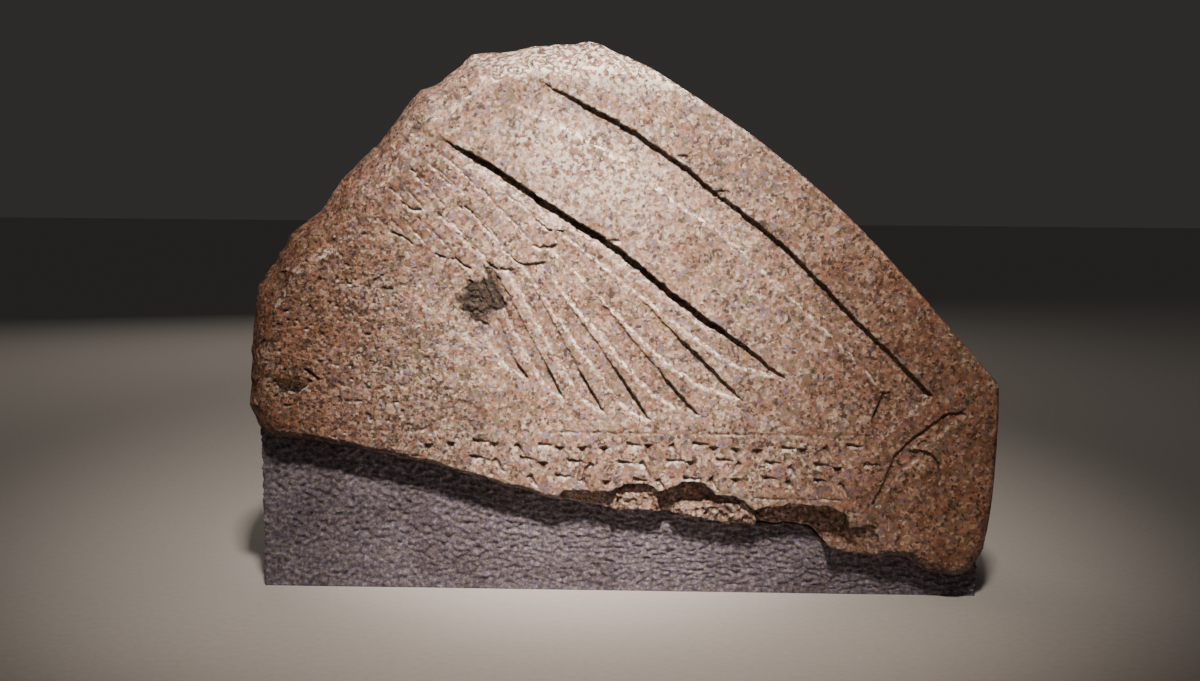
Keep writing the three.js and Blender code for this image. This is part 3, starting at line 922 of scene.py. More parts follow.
def clouded(
    tree: Any, place: Any, lumps: Sequence[tuple[str, float, float, float]], tones: dict[str, Any]
) -> tuple[dict[str, Any], dict[str, Any]]:
    """Add a finish's noises, and the tones that some of them turn into.

    Args:
        tree: The material's tree.
        place: The coordinates that the noises read.
        lumps: Each noise's name, the size of its lumps in millimetres, its detail and its roughness.
        tones: Colour stops by the name of the noise that they belong to.

    Returns:
        The noises and the tones, by name.
    """
    noises = {
        key: node(
            tree,
            "ShaderNodeTexNoise",
            {"=Scale": 1 / (size * MM), "=Detail": detail, "=Roughness": rough},
            {"Vector": place},
        )
        for key, size, detail, rough in lumps
    }
    return noises, {
        key: node(tree, "ShaderNodeValToRGB", {"stops": stops}, {0: noises[key]})
        for key, stops in tones.items()
    }


@dataclass(frozen=True)
class PinkGranite:
    """Coarse pink granite, carved and dressed by hand, and bruised and stained since.

    To the eye: salmon, tan and cream feldspar crystals about 8 mm across with greyer, finer quartz between them,
    and black mica in clusters. The tooled surface is dull. It is pitted where it weathered, with painted shade in
    the pits. It is white where it is bruised, and brown where earth and rust soaked in. Painted highlight pales
    the lips and edges that face up and the top break, and painted shade darkens it towards both ends, on slopes
    that face down and in recesses.
    """

    name: str = "carved_pink_granite"
    wander: float = 6.0
    crystals: tuple[tuple[float, tuple[tuple[float, str], ...]], ...] = (
        (
            8.0,
            (
                (0.0, "#a87c6a"), (0.15, "#c39a88"), (0.3, "#a08a6c"), (0.42, "#e3cbb9"), (0.55, "#8f8571"),
                (0.67, "#cda48f"), (0.8, "#9f8c9b"), (0.92, "#7d6456"),
            ),
        ),
        (
            4.2,
            ((0.0, "#5f4a40"), (0.13, "#ab8672"), (0.36, "#d0ad98"), (0.58, "#958068"), (0.72, "#a892a0"),
             (0.84, "#f0e0d2")),
        ),
    )
    speck: float = 4.4
    lumps: tuple[tuple[str, float, float, float], ...] = (
        ("mingle", 9.0, 3.0, 0.55), ("mottle", 5.0, 3.0, 0.65), ("cloud", 70.0, 4.0, 0.55),
        ("grain", 6.5, 4.0, 0.68), ("cluster", 22.0, 2.0, 0.55), ("stain_and_shade", 35.0, 3.0, 0.55),
        ("bruise", 8.0, 2.0, 0.6), ("fine", 2.6, 3.0, 0.6), ("dull", 12.0, 3.0, 0.55),
    )

    def make(self) -> Any:
        """Build the material.

        Returns:
            The material.
        """
        material, tree, shader = new_material(self.name)
        place = node(tree, "ShaderNodeTexCoord").outputs["Object"]
        masks = {
            key: node(tree, "ShaderNodeAttribute", {"attribute_name": key}).outputs["Fac"]
            for key in ("soil", "scuff", "grime", "worn")
        }
        drift = node(
            tree,
            "ShaderNodeTexNoise",
            {"=Scale": 1 / (self.wander * MM), "=Detail": 3.0, "=Roughness": 0.65},
            {"Vector": place},
        ).outputs["Color"]
        middle = node(
            tree, "ShaderNodeVectorMath", {"operation": "SUBTRACT", "=1": (0.5, 0.5, 0.5)}, {0: drift}
        )
        shift = node(
            tree, "ShaderNodeVectorMath", {"operation": "SCALE", "=Scale": self.wander * MM}, {0: middle}
        )
        bent = node(tree, "ShaderNodeVectorMath", {"operation": "ADD"}, {0: place, 1: shift})
        cells = [
            node(
                tree,
                "ShaderNodeSeparateColor",
                links={
                    0: node(tree, "ShaderNodeTexVoronoi", {"=Scale": 1 / (size * MM)}, {0: bent}).outputs["Color"],
                },
            )
            for size in (*(size for size, _ in self.crystals), self.speck)
        ]
        paints = [
            node(tree, "ShaderNodeValToRGB", {"steps": colours}, {0: cell})
            for cell, (_, colours) in zip(cells, self.crystals)
        ]
        stops = {
            "mottle": ((0.3, "#978a82"), (0.46, "#e2dcd9"), (0.6, "#ffffff")),
            "cloud": ((0.34, "#a08c80"), (0.56, "#ffffff")),
            "stain_and_shade": ((0.4, "#ddb393"), (0.6, "#ddc6ae")),
            "dull": ((0.3, "#b8b8b8"), (0.7, "#dcdcdc")),
        }
        lumps, tones = clouded(tree, place, self.lumps, stops)
        gates = {
            key: node(
                tree,
                "ShaderNodeMapRange",
                {"interpolation_type": "SMOOTHSTEP", "=From Min": low, "=From Max": high, "=To Max": top},
                {"Value": source},
            )
            for key, source, low, high, top in (
                ("mingle", lumps["mingle"], 0.38, 0.6, 0.85),
                # Where the bump is lowest: its pits get painted shade.
                ("pit", lumps["grain"], 0.47, 0.36, 1.0),
                ("mica", cells[2], 0.78, 0.84, 0.9),
                ("cluster", lumps["cluster"], 0.47, 0.56, 1.0),
                ("bruise", lumps["bruise"], 0.5, 0.57, 1.0),
            )
        }
        dots = {
            key: node(tree, "ShaderNodeMath", {"operation": "MULTIPLY"}, {0: first, 1: second})
            for key, first, second in (
                ("pits", masks["worn"], gates["pit"]),
                ("mica", gates["mica"], gates["cluster"]),
                ("bruises_and_highlight", masks["scuff"], gates["bruise"]),
            )
        }
        colour = paints[0]
        layers = (
            ("MIX", gates["mingle"], paints[1]),
            ("MULTIPLY", 0.75, tones["mottle"]),
            ("MULTIPLY", 0.45, tones["cloud"]),
            # Painted shade in the bump's pits where the stone weathered.
            ("MIX", dots["pits"], "#45352d"),
            ("MIX", dots["mica"], "#4a3b36"),
            # Soil, and towards the ends painted shade, multiplied into the colour.
            ("MULTIPLY", masks["soil"], tones["stain_and_shade"]),
            # The rotten patch, and painted shade under ledges and in recesses.
            ("MULTIPLY", masks["grime"], "#55534b"),
            # Pale bruises, and painted highlight on lips, edges and the top break that face up.
            ("MIX", dots["bruises_and_highlight"], "#f6ebe0"),
        )
        for blend, share, paint in layers:
            colour = node(
                tree, "ShaderNodeMix", {"data_type": "RGBA", "blend_type": blend}, {
                    0: share, 6: colour, 7: paint
                }
            ).outputs[2]
        tree.links.new(colour, shader.inputs["Base Color"])
        tree.links.new(tones["dull"].outputs[0], shader.inputs["Roughness"])
        deep = node(
            tree, "ShaderNodeMath", {"operation": "MULTIPLY_ADD", "=1": 2.6, "=2": 0.45}, {0: masks["worn"]}
        )
        coarse = node(tree, "ShaderNodeMath", {"operation": "MULTIPLY"}, {0: lumps["grain"], 1: deep})
        fine = node(tree, "ShaderNodeMath", {"operation": "MULTIPLY", "=1": 0.45}, {0: lumps["fine"]})
        height = node(tree, "ShaderNodeMath", {"operation": "ADD"}, {0: coarse, 1: fine})
        bump = node(tree, "ShaderNodeBump", {"=Strength": 1.0, "=Distance": 1.6 * MM}, {"Height": height})
        tree.links.new(bump.outputs[0], shader.inputs["Normal"])
        return material


@dataclass(frozen=True)
class TooledGreyStone:
    """Grey stone dressed with a point chisel.

    To the eye: dull violet grey with a warmer dust, mottled from near black to pale grey in lumps about 7 mm
    across.
    """

    name: str = "tooled_grey_limestone"
    lumps: tuple[tuple[str, float, float, float], ...] = (
        ("bite", 7.0, 4.0, 0.75), ("cloud", 90.0, 3.0, 0.55), ("dust", 5.0, 2.0, 0.6), (
            "chip", 4.2, 4.0, 0.7
        ),
    )

    def make(self) -> Any:
        """Build the material.

        Returns:
            The material.
        """
        material, tree, shader = new_material(self.name)
        place = node(tree, "ShaderNodeTexCoord").outputs["Object"]
        stops = {
            "bite": ((0.3, "#3e3a40"), (0.43, "#655f68"), (0.54, "#837b82"), (0.68, "#b7aeb8")),
            "cloud": ((0.35, "#a79a94"), (0.6, "#ffffff")),
            "dust": ((0.38, "#d9d4ff"), (0.5, "#ffffff"), (0.62, "#fff0cf")),
        }
        lumps, tones = clouded(tree, place, self.lumps, stops)
        colour = tones["bite"]
        for share, paint in ((0.5, tones["cloud"]), (0.6, tones["dust"])):
            colour = node(
                tree, "ShaderNodeMix", {"data_type": "RGBA", "blend_type": "MULTIPLY"}, {
                    0: share, 6: colour, 7: paint
                }
            ).outputs[2]
        tree.links.new(colour, shader.inputs["Base Color"])
        shader.inputs["Roughness"].default_value = 0.9
        bump = node(
            tree, "ShaderNodeBump", {"=Strength": 1.0, "=Distance": 2.4 * MM}, {"Height": lumps["chip"]}
        )
        tree.links.new(bump.outputs[0], shader.inputs["Normal"])
        return material


@dataclass(frozen=True)
class MattPaper:
    """The studio's pale paper: matt, with the faintest cloudiness."""

    name: str = "matt_pale_paper"

    def make(self) -> Any:
        """Build the material.

        Returns:
            The material.
        """
        material, tree, shader = new_material(self.name)
        place = node(tree, "ShaderNodeTexCoord").outputs["Object"]
        pulp = node(tree, "ShaderNodeTexNoise", {"=Scale": 90.0, "=Detail": 2.0}, {"Vector": place})
        tone = node(tree, "ShaderNodeValToRGB", {"stops": ((0.3, "#cfcbc6"), (0.7, "#d6d3ce"))}, {0: pulp})
        tree.links.new(tone.outputs[0], shader.inputs["Base Color"])
        shader.inputs["Roughness"].default_value = 0.9
        return material


# ---------- The two stones ----------


@dataclass
class Stele:
    """The carved fragment: a flat face with its carving, broken bevels, and rough sides and back."""

    thickness: float = 320.0
    back_roughness: float = 12.0
    outline: Outline = Outline()
    carving: Carving = Carving()
    flakes: tuple[Flake, ...] = (Flake(368, 88, 40, 34, 16),)
    scar_edge: tuple[Point, ...] = (
        (-95, 160), (-84, 171), (-45, 171), (-12, 170), (-4, 176), (6, 178), (14, 182), (30, 185), (50, 182),
        (60, 172), (66, 172), (80, 179), (97, 186), (120, 187), (135, 185), (145, 176), (150, 168), (
            157,
            167,
        ),
        (180, 165), (195, 158), (205, 148), (212, 143), (220, 146), (235, 149), (262, 154), (300, 153), (
            322,
            152,
        ),
        (340, 146), (352, 138), (358, 128), (362, 80),
    )
    scar_depth: tuple[Point, ...] = (
        (-95, 4), (-84, 19), (-8, 18), (2, 15), (58, 15), (66, 28), (140, 30), (152, 17), (208, 14), (
            218,
            40,
        ),
        (340, 38), (360, 20),
    )
    rubble_top: tuple[Point, ...] = (
        (-20, 130), (-10, 152), (0, 190), (60, 190), (66, 120), (78, 122), (88, 152), (130, 152), (146, 163),
        (200, 156), (214, 142), (220, 90),
    )
    shell: tuple[tuple[Point, ...], tuple[Point, ...]] = (
        ((-538, 341), (-525, 349), (-508, 351), (-490, 348), (-476, 341)),
        ((-537, 336), (-527, 325), (-510, 319), (-493, 322), (-477, 336)),
    )
    slit: tuple[tuple[Point, ...], tuple[Point, ...]] = (
        ((-489, 360), (-476, 353), (-463, 342)), ((-484, 352), (-475, 345), (-466, 339)),
    )
    side_loops: int = 30
    back_step: float = 10.0
    skin: StoneSkin = StoneSkin(3.0, 1.6, 30.0, 22.0, 4.0, 14.0, "rough")
    chips: tuple[Flake, ...] = (
        Flake(-187, 395, 5, 5, 4),
        Flake(90, 687, 10, 5, 4),
        Flake(152, 633, 14, 6, 4),
        Flake(-10, 559, 11, 4, 4),
    )
    face_y: float = field(init=False)

    def __post_init__(self) -> None:
        """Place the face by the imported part."""
        self.face_y = float(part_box(Node.STELE.value)[0][1]) / MM

    def build(self) -> Any:
        """Carve the face, close the stone behind it and make the mesh.

        Returns:
            The new object.
        """
        ring = self.outline.ring()
        face = Face()
        depth, edge = self.carved(face, ring)
        spots = self.spots(face, depth, ring)
        flat, front = filled(ring[:, :2], spots)
        size = len(ring)
        lows = sample(face, depth, flat)
        lows[:size] = np.maximum(
            ring[:, 3] * (1 + 0.15 * Noise(57).at(30, ring[:, 0], ring[:, 1])), lows[:size]
        )
        points = [np.column_stack([flat[:, 0], self.face_y + lows, flat[:, 1]])]
        faces = list(front)
        total = len(flat)
        previous = list(range(size))
        rings = self.side_rings(ring, lows[:size])
        for loop in rings:
            points.append(loop)
            here = list(range(total, total + size))
            total += size
            for k in range(size):
                n = (k + 1) % size
                faces.append([previous[k], previous[n], here[n], here[k]])
            previous = here
        last = rings[-1]
        back_spots = self.back_spots(last)
        back_flat, back = filled(last[:, [0, 2]], back_spots)
        back_y = self.back_depth(back_flat[size:, 0], back_flat[size:, 1])
        points.append(np.column_stack([back_flat[size:, 0], back_y, back_flat[size:, 1]]))
        relabel = previous + list(range(total, total + len(back_flat) - size))
        faces += [[relabel[k] for k in triangle] for triangle in back]
        cloud = np.vstack(points)
        rise = np.gradient(depth, face.pitch, axis=0).astype(np.float32)
        masks = self.masks(face, edge, rise, cloud, len(flat))
        return make_mesh("carved_stele", cloud, faces, masks)

    def carved(self, face: Face, ring: np.ndarray) -> tuple[np.ndarray, np.ndarray]:
        """Depths behind the face's plane, with all its carving and losses.

        Args:
            face: The grid to carve.
            ring: The outline.

        Returns:
            The depths, and how much each place stands proud of its surroundings.
        """
        self.carving.cut_into(face)
        x, z = face.x, face.z
        wear = smoothstep(Noise(61).layered(26, 3, x, z), 0.1, 0.6)
        soft = blurred(face.cut, 1)
        depth = face.cut * (1 - wear) + soft * wear
        depth += 0.5 * Noise(62).at(130, x, z) + 0.12 * Noise(63).at(14, x, z)
        depth += self.decay(x, z)
        for lines, depths, lip, count in ((self.shell, (0.3, 7.5), 2.6, 24), (self.slit, (8, 6), 1.5, 60)):
            depth = np.maximum(depth, face.band(*lines, depths, lip, count=count)[0])
        depth = np.maximum(depth, self.scar(face))
        for k, chip in enumerate(self.chips):
            depth = np.maximum(depth, face.flake(chip, 300 + 7 * k))
        for k, lost in enumerate(self.flakes):
            hollow = face.flake(lost, 200 + 7 * k)
            part = hollow > 0
            facets = Facets(80 + k, 26).at(x[part], z[part]) + 0.5 * Facets(90 + k, 11).at(x[part], z[part])
            hollow[part] *= 1 + 0.22 * facets
            depth = np.maximum(depth, hollow)
        depth = np.maximum(depth, self.bevel(face, ring))
        edge = blurred(depth, 4) - depth
        return blurred(depth, 1, 1), edge

    def decay(self, x: np.ndarray, z: np.ndarray) -> np.ndarray:
        """Depths of the cracks and pits of the weathered left side and of the dark rotten patch.

        Args:
            x: The grid's x.
            z: The grid's z.

        Returns:
            The depth at each grid point.
        """
        left = self.weathered(x, z)
        seam = np.abs(Noise(151).layered(17, 2, x, z))
        here = smoothstep(Noise(154).layered(30, 2, x, z), 0.05, 0.35)
        cracks = 2.6 * (1 - smoothstep(seam, 0.0, 0.09)) * here * left
        pits = 3.4 * smoothstep(Noise(157).at(7, x, z), 0.62, 0.85) * left
        rotten = self.patch(x, z)
        crumbs = 3.0 + 2.6 * Noise(160).layered(13, 3, x, z) + 3.4 * (1 - smoothstep(seam, 0.0, 0.16))
        return np.maximum(np.maximum(cracks, pits), rotten * crumbs)

    def weathered(self, x: np.ndarray, z: np.ndarray) -> np.ndarray:
        """How far the left side of the face is weathered at each place."""
        return smoothstep(-x - 0.35 * (z - 400) + 90 * Noise(101).layered(120, 3, x, z), 180, 400)

    def patch(self, x: np.ndarray, z: np.ndarray) -> np.ndarray:
        """How rotten the stone is in the dark patch under the coverts."""
        far = np.hypot((x + 211) / 36, (z - 468) / 48) + 0.8 * Noise(98).layered(22, 4, x, z)
        return 1 - smoothstep(far, 0.6, 1.15)

    def scar(self, face: Face) -> np.ndarray:
        """Depths of the broken foot, where the stone sheared off behind the face and left ledges and rubble.

        Args:
            face: The grid.

        Returns:
            The depth at each grid point.
        """
        depth = np.zeros(face.x.shape, np.float32)
        edge, deep, top = (np.array(line) for line in (self.scar_edge, self.scar_depth, self.rubble_top))
        part = face.window(edge[:, 0], (90, 195))
        x, z = face.x[part], face.z[part]
        x = x + 5 * Noise(141).layered(18, 3, x, z)
        z = z + 3.5 * Noise(144).layered(14, 3, x, z)
        below = smoothstep(np.interp(x, *edge.T) - z, -0.6, 1.6) * ((x > edge[0, 0]) & (x < edge[-1, 0]))
        facets = 0.8 * Facets(120, 17).at(x, z) + 0.9 * Facets(130, 8).at(x, z)
        heap = smoothstep(np.interp(x, *top.T) - z, -3, 9)
        floor = np.interp(x, *deep.T) * (1 + 0.10 * facets)
        rubble = np.minimum(floor, 11 + 8 * facets + 0.10 * (np.interp(x, *top.T) - z))
        depth[part] = below * np.maximum(floor * (1 - heap) + rubble * heap, 2)
        return depth

    def bevel(self, face: Face, ring: np.ndarray) -> np.ndarray:
        """Depths of the broken and worn bevel round the face.

        Args:
            face: The grid.
            ring: The outline.

        Returns:
            The depth at each grid point.
        """
        skip = 5
        x, z = face.x[::skip, ::skip], face.z[::skip, ::skip]
        far, nearest = from_ring(x, z, ring)
        wide, deep, broken = (blurred(ring[nearest, k].astype(np.float32), 3, 1) for k in (2, 3, 4))
        rows, columns = face.x.shape
        r = np.minimum(np.arange(rows) / skip, x.shape[0] - 1.001)
        c = np.minimum(np.arange(columns) / skip, x.shape[1] - 1.001)
        r0, c0 = r.astype(int), c.astype(int)
        fr, fc = (r - r0)[:, None].astype(np.float32), (c - c0)[None].astype(np.float32)

        def finer(values: np.ndarray) -> np.ndarray:
            """Interpolate coarse values to the whole grid."""
            top = values[r0][:, c0] * (1 - fc) + values[r0][:, c0 + 1] * fc
            low = values[r0 + 1][:, c0] * (1 - fc) + values[r0 + 1][:, c0 + 1] * fc
            return top * (1 - fr) + low * fr

        s, wide, deep, broken = finer(far), finer(wide), finer(deep), finer(broken)
        ragged = Noise(51).layered(44, 4, face.x, face.z)
        wide = wide * (1 + (0.12 + 0.3 * broken) * ragged)
        depth = deep * np.where(s < 0.4 * wide, 1 - 1.5 * s / wide, (wide - s) / 1.5 / wide)
        depth = np.maximum(depth, 0)
        part = depth > 0
        px, pz = face.x[part], face.z[part]
        facets = Facets(52, 34).at(px, pz) + 0.45 * Facets(53, 13).at(px, pz)
        inwards = np.clip(s[part] / 6, 0, 1)
        depth[part] += broken[part] * facets * np.minimum(depth[part], 9) * 0.42 * inwards
        return np.maximum(depth, 0)

    def spots(self, face: Face, depth: np.ndarray, ring: np.ndarray) -> np.ndarray:
        """Choose where the face's mesh needs points: closely at walls, widely on flat stone.

        Args:
            face: The grid.
            depth: Its depths.
            ring: The outline.

        Returns:
            The points.
        """
        gz, gx = np.gradient(depth, face.pitch)
        slope = np.hypot(gx, gz)
        bend = np.abs(blurred(depth, 2) - depth)
        sharp = ((slope > 0.85) & (bend > 0.12)) | (bend > 0.25)
        near = blurred(sharp.astype(np.float32), 3, 1) > 0.02
        rough = near | (bend > 0.045) | (slope > 0.3)
        rows, columns = np.indices(depth.shape)
        keep = (rows % 8 == 0) & (columns % 8 == 0)
        keep |= rough & (rows % 4 == 0) & (columns % 4 == 0)
        keep |= sharp & (rows % 2 == 0) & (columns % 2 == 0)
        x, z = face.x[keep], face.z[keep]
        inner = inside_ring(x, z, ring[:, :2])
        x, z = x[inner], z[inner]
        far, _ = from_ring(x, z, ring)
        clear = far > 0.5 * self.outline.step
        LOG.info("face points: %d of which sharp %d", clear.sum(), sharp[::2, ::2].sum())
        shake = np.random.default_rng(5).uniform(-0.15, 0.15, (clear.sum(), 2))
        return np.column_stack([x[clear], z[clear]]) + shake

    def side_rings(self, ring: np.ndarray, lows: np.ndarray) -> list[np.ndarray]:
        """Loops of points round the rough sides, from the face's edge to the back.

        Args:
            ring: The outline.
            lows: How deep each of its points lies.

        Returns:
            One array of points a loop.
        """
        loops = []
        for k in range(1, self.side_loops + 1):
            share = k / self.side_loops
            back = self.back_depth(ring[:, 0], ring[:, 1]) - self.face_y
            depth = lows + (back - 6 - lows) * share
            inset = 14 * np.maximum(depth / self.thickness - 0.33, 0) * (0.3 + 0.7 * ring[:, 4])
            inset += 14 * max(0.0, share - 0.9) ** 2 * 100 * 0.5
            x, z = ring[:, 0], ring[:, 1]
            ease = np.minimum(1, (depth - lows) / 25)
            rough = 8 * Noise(71).layered(70, 4, x, depth, z) + 2.5 * Noise(75).at(22, x, depth, z)
            out = ease * rough * (0.25 + 0.75 * ring[:, 4]) - inset
            loops.append(np.column_stack([x + ring[:, 5] * out, self.face_y + depth, z + ring[:, 6] * out]))
        return loops

    def back_depth(self, x: np.ndarray, z: np.ndarray) -> np.ndarray:
        """How far back the split back lies at each place."""
        swell = 0.8 * Noise(77).at(260, x, z) + 0.5 * Noise(78).layered(85, 3, x, z) + 0.25 * Facets(79, 60).at(
            x,
            z,
        )
        return self.face_y + self.thickness + self.back_roughness * (swell - 1)

    def back_spots(self, loop: np.ndarray) -> np.ndarray:
        """Evenly spread points inside the back's edge."""
        x, z = np.meshgrid(np.arange(-590, 590, self.back_step), np.arange(30, 870, self.back_step))
        x, z = x.ravel(), z.ravel()
        inner = inside_ring(x, z, loop[:, [0, 2]])
        x, z = x[inner], z[inner]
        far, _ = from_ring(x, z, loop[:, [0, 2]])
        return np.column_stack([x[far > 7], z[far > 7]])

    def masks(
        self, face: Face, edge: np.ndarray, rise: np.ndarray, cloud: np.ndarray, fronts: int
    ) -> dict[str, np.ndarray]:
        """Where the stone is stained, dark and bruised, and where highlight and shade are painted on.

        Args:
            face: The grid.
            edge: How proud each grid point stands.
            rise: How steeply the surface there faces up.
            cloud: The mesh's points.
            fronts: How many of them lie on the face.

        Returns:
            The masks by name.
        """
        x, z, back = cloud[:, 0], cloud[:, 2], cloud[:, 1] - self.face_y
        # Browner and darker towards both ends of the face and on its sides and back: real soil, and towards the
        # ends also painted shade where the light falls off.
        wander = 60 * Noise(91).layered(150, 3, x, z)
        soil = smoothstep(-(x + wander), 280, 520) + smoothstep(x + wander, 150, 560)
        soil = np.clip(soil + 0.6 * smoothstep(back, 30, 90), 0, 1) * (
            0.75 + 0.25 * Noise(94).layered(50, 3, x, z)
        )
        proud, ledge = np.zeros(len(cloud)), np.zeros(len(cloud))
        proud[:fronts] = sample(face, edge, cloud[:fronts][:, [0, 2]])
        ledge[:fronts] = sample(face, rise, cloud[:fronts][:, [0, 2]])
        patchy = smoothstep(Noise(96).layered(20, 3, x, z), -0.5, 0.3)
        shallow = 1 - smoothstep(back, 9, 14)
        # Pale on slopes that face up and on edges that stand proud: painted highlight where the light catches
        # them, with some real bruising.
        scuff = smoothstep(ledge, 0.35, 0.9) * (0.5 + 0.5 * patchy) * shallow
        scuff += 0.3 * smoothstep(proud, 0.3, 1.2) * patchy * shallow
        hot = np.hypot((x + 40 + 0.5 * (z - 670)) / 200, (z - 670) / 90) + 0.5 * Noise(103).layered(
            60,
            3,
            x,
            z,
        )
        scuff += 0.6 * (1 - smoothstep(hot, 0.1, 1.1)) * (1 - smoothstep(back, 20, 60))
        # Pale along the top break: its paler broken stone, and painted highlight where it faces up into the light.
        crest = smoothstep(z + 0.12 * x + 14 * Noise(105).layered(40, 3, x, z), 772, 812)
        scuff += 0.9 * crest * smoothstep(x, -330, -210) * (1 - smoothstep(back, 55, 110))
        scuff *= 1 - 0.55 * soil
        shell = np.hypot((x + 508) / 27, (z - 330) / 13) + 0.15 * Noise(99).at(12, x, z)
        patch = self.patch(x, z)
        # Dark in the rotten patch and over the shell scar.
        grime = 0.9 * patch + 0.7 * (1 - smoothstep(shell, 0.8, 1.1))
        # Painted shade on slopes that face down and in recesses.
        grime += 0.7 * smoothstep(-ledge, 0.3, 1.0) + 0.3 * smoothstep(-proud, 0.4, 1.4)
        grime[fronts:] = 0.08
        scuff *= 1 - patch
        worn = np.maximum(np.maximum(self.weathered(x, z), patch), 0.6 * smoothstep(back, 2, 12))
        masks = {"soil": soil, "scuff": scuff, "grime": grime, "worn": worn, "rough": back / 40}
        return {name: np.clip(values, 0, 1) for name, values in masks.items()}

    def dress(self, piece: Any) -> None:
        """Roughen and finish the stone and tie it to the frame.

        Args:
            piece: The object to dress.
        """
        self.skin.apply(piece, PinkGranite().make())
        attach(piece, BODY)
        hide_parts(Node.STELE.value)


def sample(face: Face, values: np.ndarray, flat: np.ndarray) -> np.ndarray:
    """Read a grid at loose points.

    Args:
        face: The grid's layout.
        values: The grid's values.
        flat: The points' x and z.

    Returns:
        One value a point.
    """
    c = np.clip((flat[:, 0] - face.left) / face.pitch, 0, values.shape[1] - 1.001)
    r = np.clip((flat[:, 1] - face.low) / face.pitch, 0, values.shape[0] - 1.001)
    c0, r0 = c.astype(int), r.astype(int)
    fc, fr = c - c0, r - r0
    top = values[r0, c0] * (1 - fc) + values[r0, c0 + 1] * fc
    low = values[r0 + 1, c0] * (1 - fc) + values[r0 + 1, c0 + 1] * fc
    return top * (1 - fr) + low * fr


@dataclass
class BaseBlock:
    """The rough block whose top was cut to the fragment's underside, and is nowhere higher than its profile."""

    gap: float = 0.3
    play: float = 3.0  # room for the tool marks of both stones
    step: float = 3.2
    stations: tuple[int, int, int, int] = (90, 50, 44, 16)  # up the front, over the top, down the back, under
    skin: StoneSkin = StoneSkin(8.0, 6.0, 9.5, 6.5, 5.0, 45.0, "rough")
    profile: tuple[Point, ...] = (
        (-566, 290), (-450, 285), (-180, 225), (300, 160), (430, 110), (565, 100),
    )

    def build(self, stele: Any) -> Any:
        """Make the block under the fragment.

        Args:
            stele: The fragment that rests on it.

        Returns:
            The new object.
        """
        low, high = (np.array(corner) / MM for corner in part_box(Node.BLOCK.value))
        tree = BVHTree.FromObject(stele, bpy.context.evaluated_depsgraph_get())
        xs = np.linspace(low[0], high[0], round((high[0] - low[0]) / self.step) + 1)
        fronts, across, backs, unders = self.stations
        tops = np.linspace(low[1], high[1], across)
        ceiling = np.interp(xs, *np.array(self.profile).T)
        height = np.zeros((len(xs), len(tops)))
        for i, x in enumerate(xs):
            for j, y in enumerate(tops):
                hit = tree.ray_cast(Vector((x * MM, y * MM, -0.01)), Vector((0, 0, 1)), 1.0)[0]
                height[i, j] = min(ceiling[i], hit.z / MM - self.gap - self.play) if hit else ceiling[i]
        loops = []
        for i, x in enumerate(xs):
            rise = np.arange(fronts) / fronts
            fall = np.arange(backs) / backs
            under = np.arange(unders) / unders
            front = np.column_stack([np.full(fronts, low[1]), rise * height[i, 0]])
            top = np.column_stack([tops[:-1], height[i, :-1]])
            back = np.column_stack([np.full(backs, high[1]), (1 - fall) * height[i, -1]])
            base = np.column_stack([high[1] + (low[1] - high[1]) * under, np.zeros(unders)])
            section = np.vstack([front, top, back, base])
            loops.append(np.column_stack([np.full(len(section), x), section]))
        size = len(loops[0])
        faces = []
        for i in range(len(loops) - 1):
            a, b = i * size, (i + 1) * size
            faces += [[a + k, a + (k + 1) % size, b + (k + 1) % size, b + k] for k in range(size)]
        points = [np.vstack(loops)]
        total = size * len(loops)
        for end in (0, len(loops) - 1):
            loop = loops[end][:, 1:]
            spread = np.arange(low[1] + 6, high[1] - 5, 7.0), np.arange(6, 300, 7.0)
            y, z = (v.ravel() for v in np.meshgrid(*spread))
            inner = inside_ring(y, z, loop)
            far, _ = from_ring(y, z, loop)
            keep = inner & (far > 5)
            flat, cap = filled(loop, np.column_stack([y[keep], z[keep]]))
            fresh = flat[size:]
            points.append(np.column_stack([np.full(len(fresh), loops[end][0, 0]), fresh]))
            relabel = [*range(end * size, (end + 1) * size), *range(total, total + len(fresh))]
            total += len(fresh)
            faces += [[relabel[k] for k in triangle] for triangle in cap]
        cloud = np.vstack(points)
        return make_mesh("fitted_block", cloud, faces, self.masks(cloud, low, high))

    def masks(self, cloud: np.ndarray, low: np.ndarray, high: np.ndarray) -> dict[str, np.ndarray]:
        """Where the block may be roughened: not on the faces that it rests and bears on."""
        outer = np.minimum(
            np.minimum(cloud[:, 1] - low[1], high[1] - cloud[:, 1]), np.abs(cloud[:, 0] - low[0])
        )
        outer = np.minimum(outer, np.abs(cloud[:, 0] - high[0]))
        rough = (1 - smoothstep(outer, 2, 14)) * smoothstep(cloud[:, 2], -1, 12)
        return {"rough": rough}

    def dress(self, piece: Any) -> None:
        """Tool and finish the block and tie it to the frame.

        Args:
            piece: The object to dress.
        """
        self.skin.apply(piece, TooledGreyStone().make())
        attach(piece, BODY)
        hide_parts(Node.BLOCK.value)


# ---------- The studio ----------


@dataclass(frozen=True)
class Light:
    """A soft square light, with its side in metres, its power in watts and its spread in degrees."""

    name: str
    place: tuple[float, float, float]
    aim: tuple[float, float, float]
    size: float
    power: float
    spread: float = 180.0

    def make(self, colour: str) -> None:
        """Hang the light in the scene.

        Args:
            colour: Its colour.
        """
        data = bpy.data.lights.new(self.name, "AREA")
        data.size = self.size
        data.spread = math.radians(self.spread)
        data.energy = self.power
        data.color = srgb(colour)[:3]
        light = bpy.data.objects.new(self.name, data)
        light.location = self.place
        light.rotation_euler = (Vector(self.aim) - Vector(self.place)).to_track_quat("-Z", "Y").to_euler()
        bpy.context.scene.collection.objects.link(light)


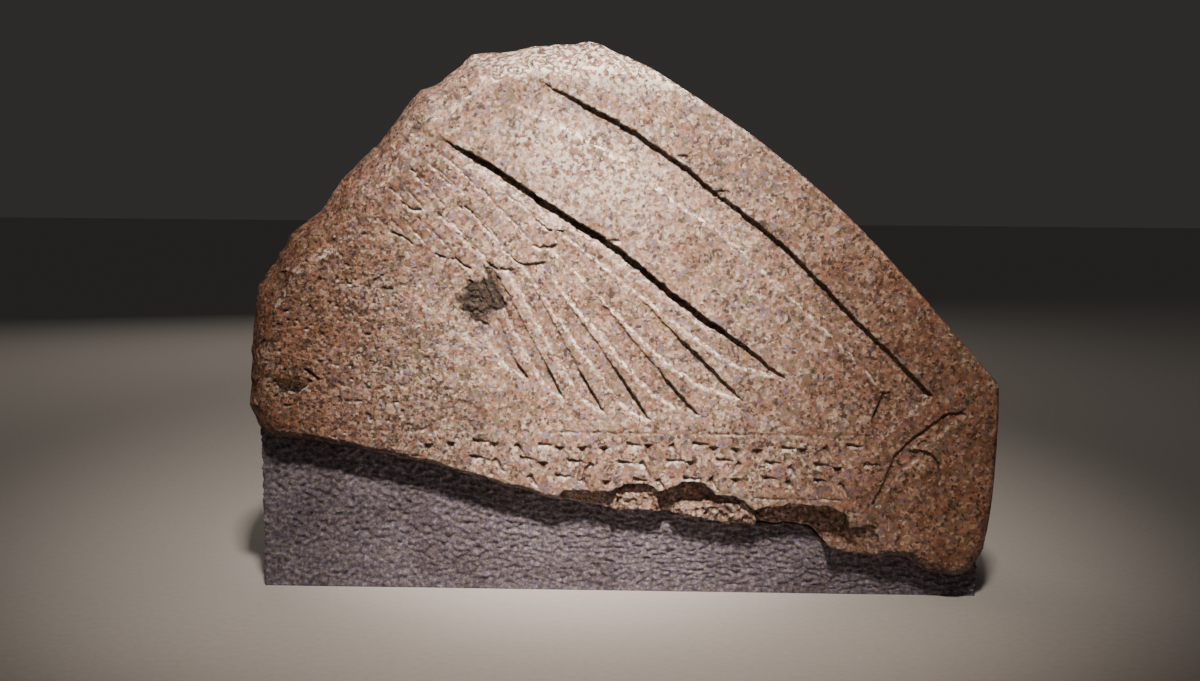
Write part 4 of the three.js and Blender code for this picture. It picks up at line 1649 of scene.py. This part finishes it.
@dataclass
class Studio:
    """A plain pale floor, soft light and the camera."""

    camera_at: tuple[float, float, float] = (0.0245, -2.433, 0.7074)
    yaw: float = 1.4
    pitch: float = -7.5
    roll: float = 0.45
    lens: float = 45.0
    sensor: float = 36.0
    lights: tuple[Light, ...] = (
        Light("key", (0.12, -2.05, 2.9), (-0.05, -0.158, 0.54), 0.26, 2.1, 17.0),
        Light("halo", (0.12, -2.05, 2.9), (-0.05, -0.158, 0.54), 0.26, 5.0, 36.0),
        Light("fill", (0.2, -2.8, 1.4), (0.0, 0.0, 0.4), 2.0, 0.5),
        Light("rear", (-0.9, 2.9, 1.9), (0.0, 0.0, 0.4), 2.2, 16.0),
    )
    light_colour: str = "#fff1e4"
    air_colour: str = "#ccc8c4"
    air_strength: float = 0.055
    floor_x: tuple[float, float] = (-9.0, 9.0)
    floor_y: tuple[float, float] = (-9.0, 11.0)

    def build(self) -> None:
        """Make the camera, the floor and the lights."""
        self.make_camera()
        self.make_floor()
        for light in self.lights:
            light.make(self.light_colour)
        world = bpy.data.worlds.new("studio")
        world.use_nodes = True
        air = world.node_tree.nodes["Background"].inputs
        air[0].default_value, air[1].default_value = srgb(self.air_colour), self.air_strength
        bpy.context.scene.world = world

    def make_camera(self) -> None:
        """Make the camera at the viewing angle."""
        data = bpy.data.cameras.new("camera")
        data.lens = self.lens
        data.sensor_width = self.sensor
        camera = bpy.data.objects.new("camera", data)
        bpy.context.scene.collection.objects.link(camera)
        yaw, pitch, roll = (math.radians(v) for v in (self.yaw, self.pitch, self.roll))
        forward = Vector((-math.sin(yaw) * math.cos(pitch), math.cos(yaw) * math.cos(pitch), math.sin(pitch)))
        right = Vector((math.cos(yaw), math.sin(yaw), 0))
        up = right.cross(forward)
        across = right * math.cos(roll) + up * math.sin(roll)
        above = up * math.cos(roll) - right * math.sin(roll)
        turned = np.column_stack([across, above, -forward])
        matrix = np.eye(4)
        matrix[:3, :3] = turned
        matrix[:3, 3] = self.camera_at
        camera.matrix_world = Matrix(matrix.tolist())
        bpy.context.scene.camera = camera

    def make_floor(self) -> None:
        """Make the floor."""
        points = [(x, y, 0.0) for y in self.floor_y for x in self.floor_x]
        mesh = bpy.data.meshes.new("floor")
        mesh.from_pydata(points, [], [(0, 1, 3, 2)])
        mesh.materials.append(MattPaper().make())
        floor = bpy.data.objects.new("floor", mesh)
        bpy.context.scene.collection.objects.link(floor)


def main() -> None:
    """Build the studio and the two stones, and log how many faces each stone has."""
    logging.basicConfig(level=logging.INFO, format="%(name)s: %(message)s")
    Studio().build()
    stele = Stele()
    stone = stele.build()
    LOG.info("%s: %d faces", stone.name, len(stone.data.polygons))
    block = BaseBlock()
    base = block.build(stone)
    LOG.info("%s: %d faces", base.name, len(base.data.polygons))
    stele.dress(stone)
    block.dress(base)


if __name__ == "__main__":
    main()
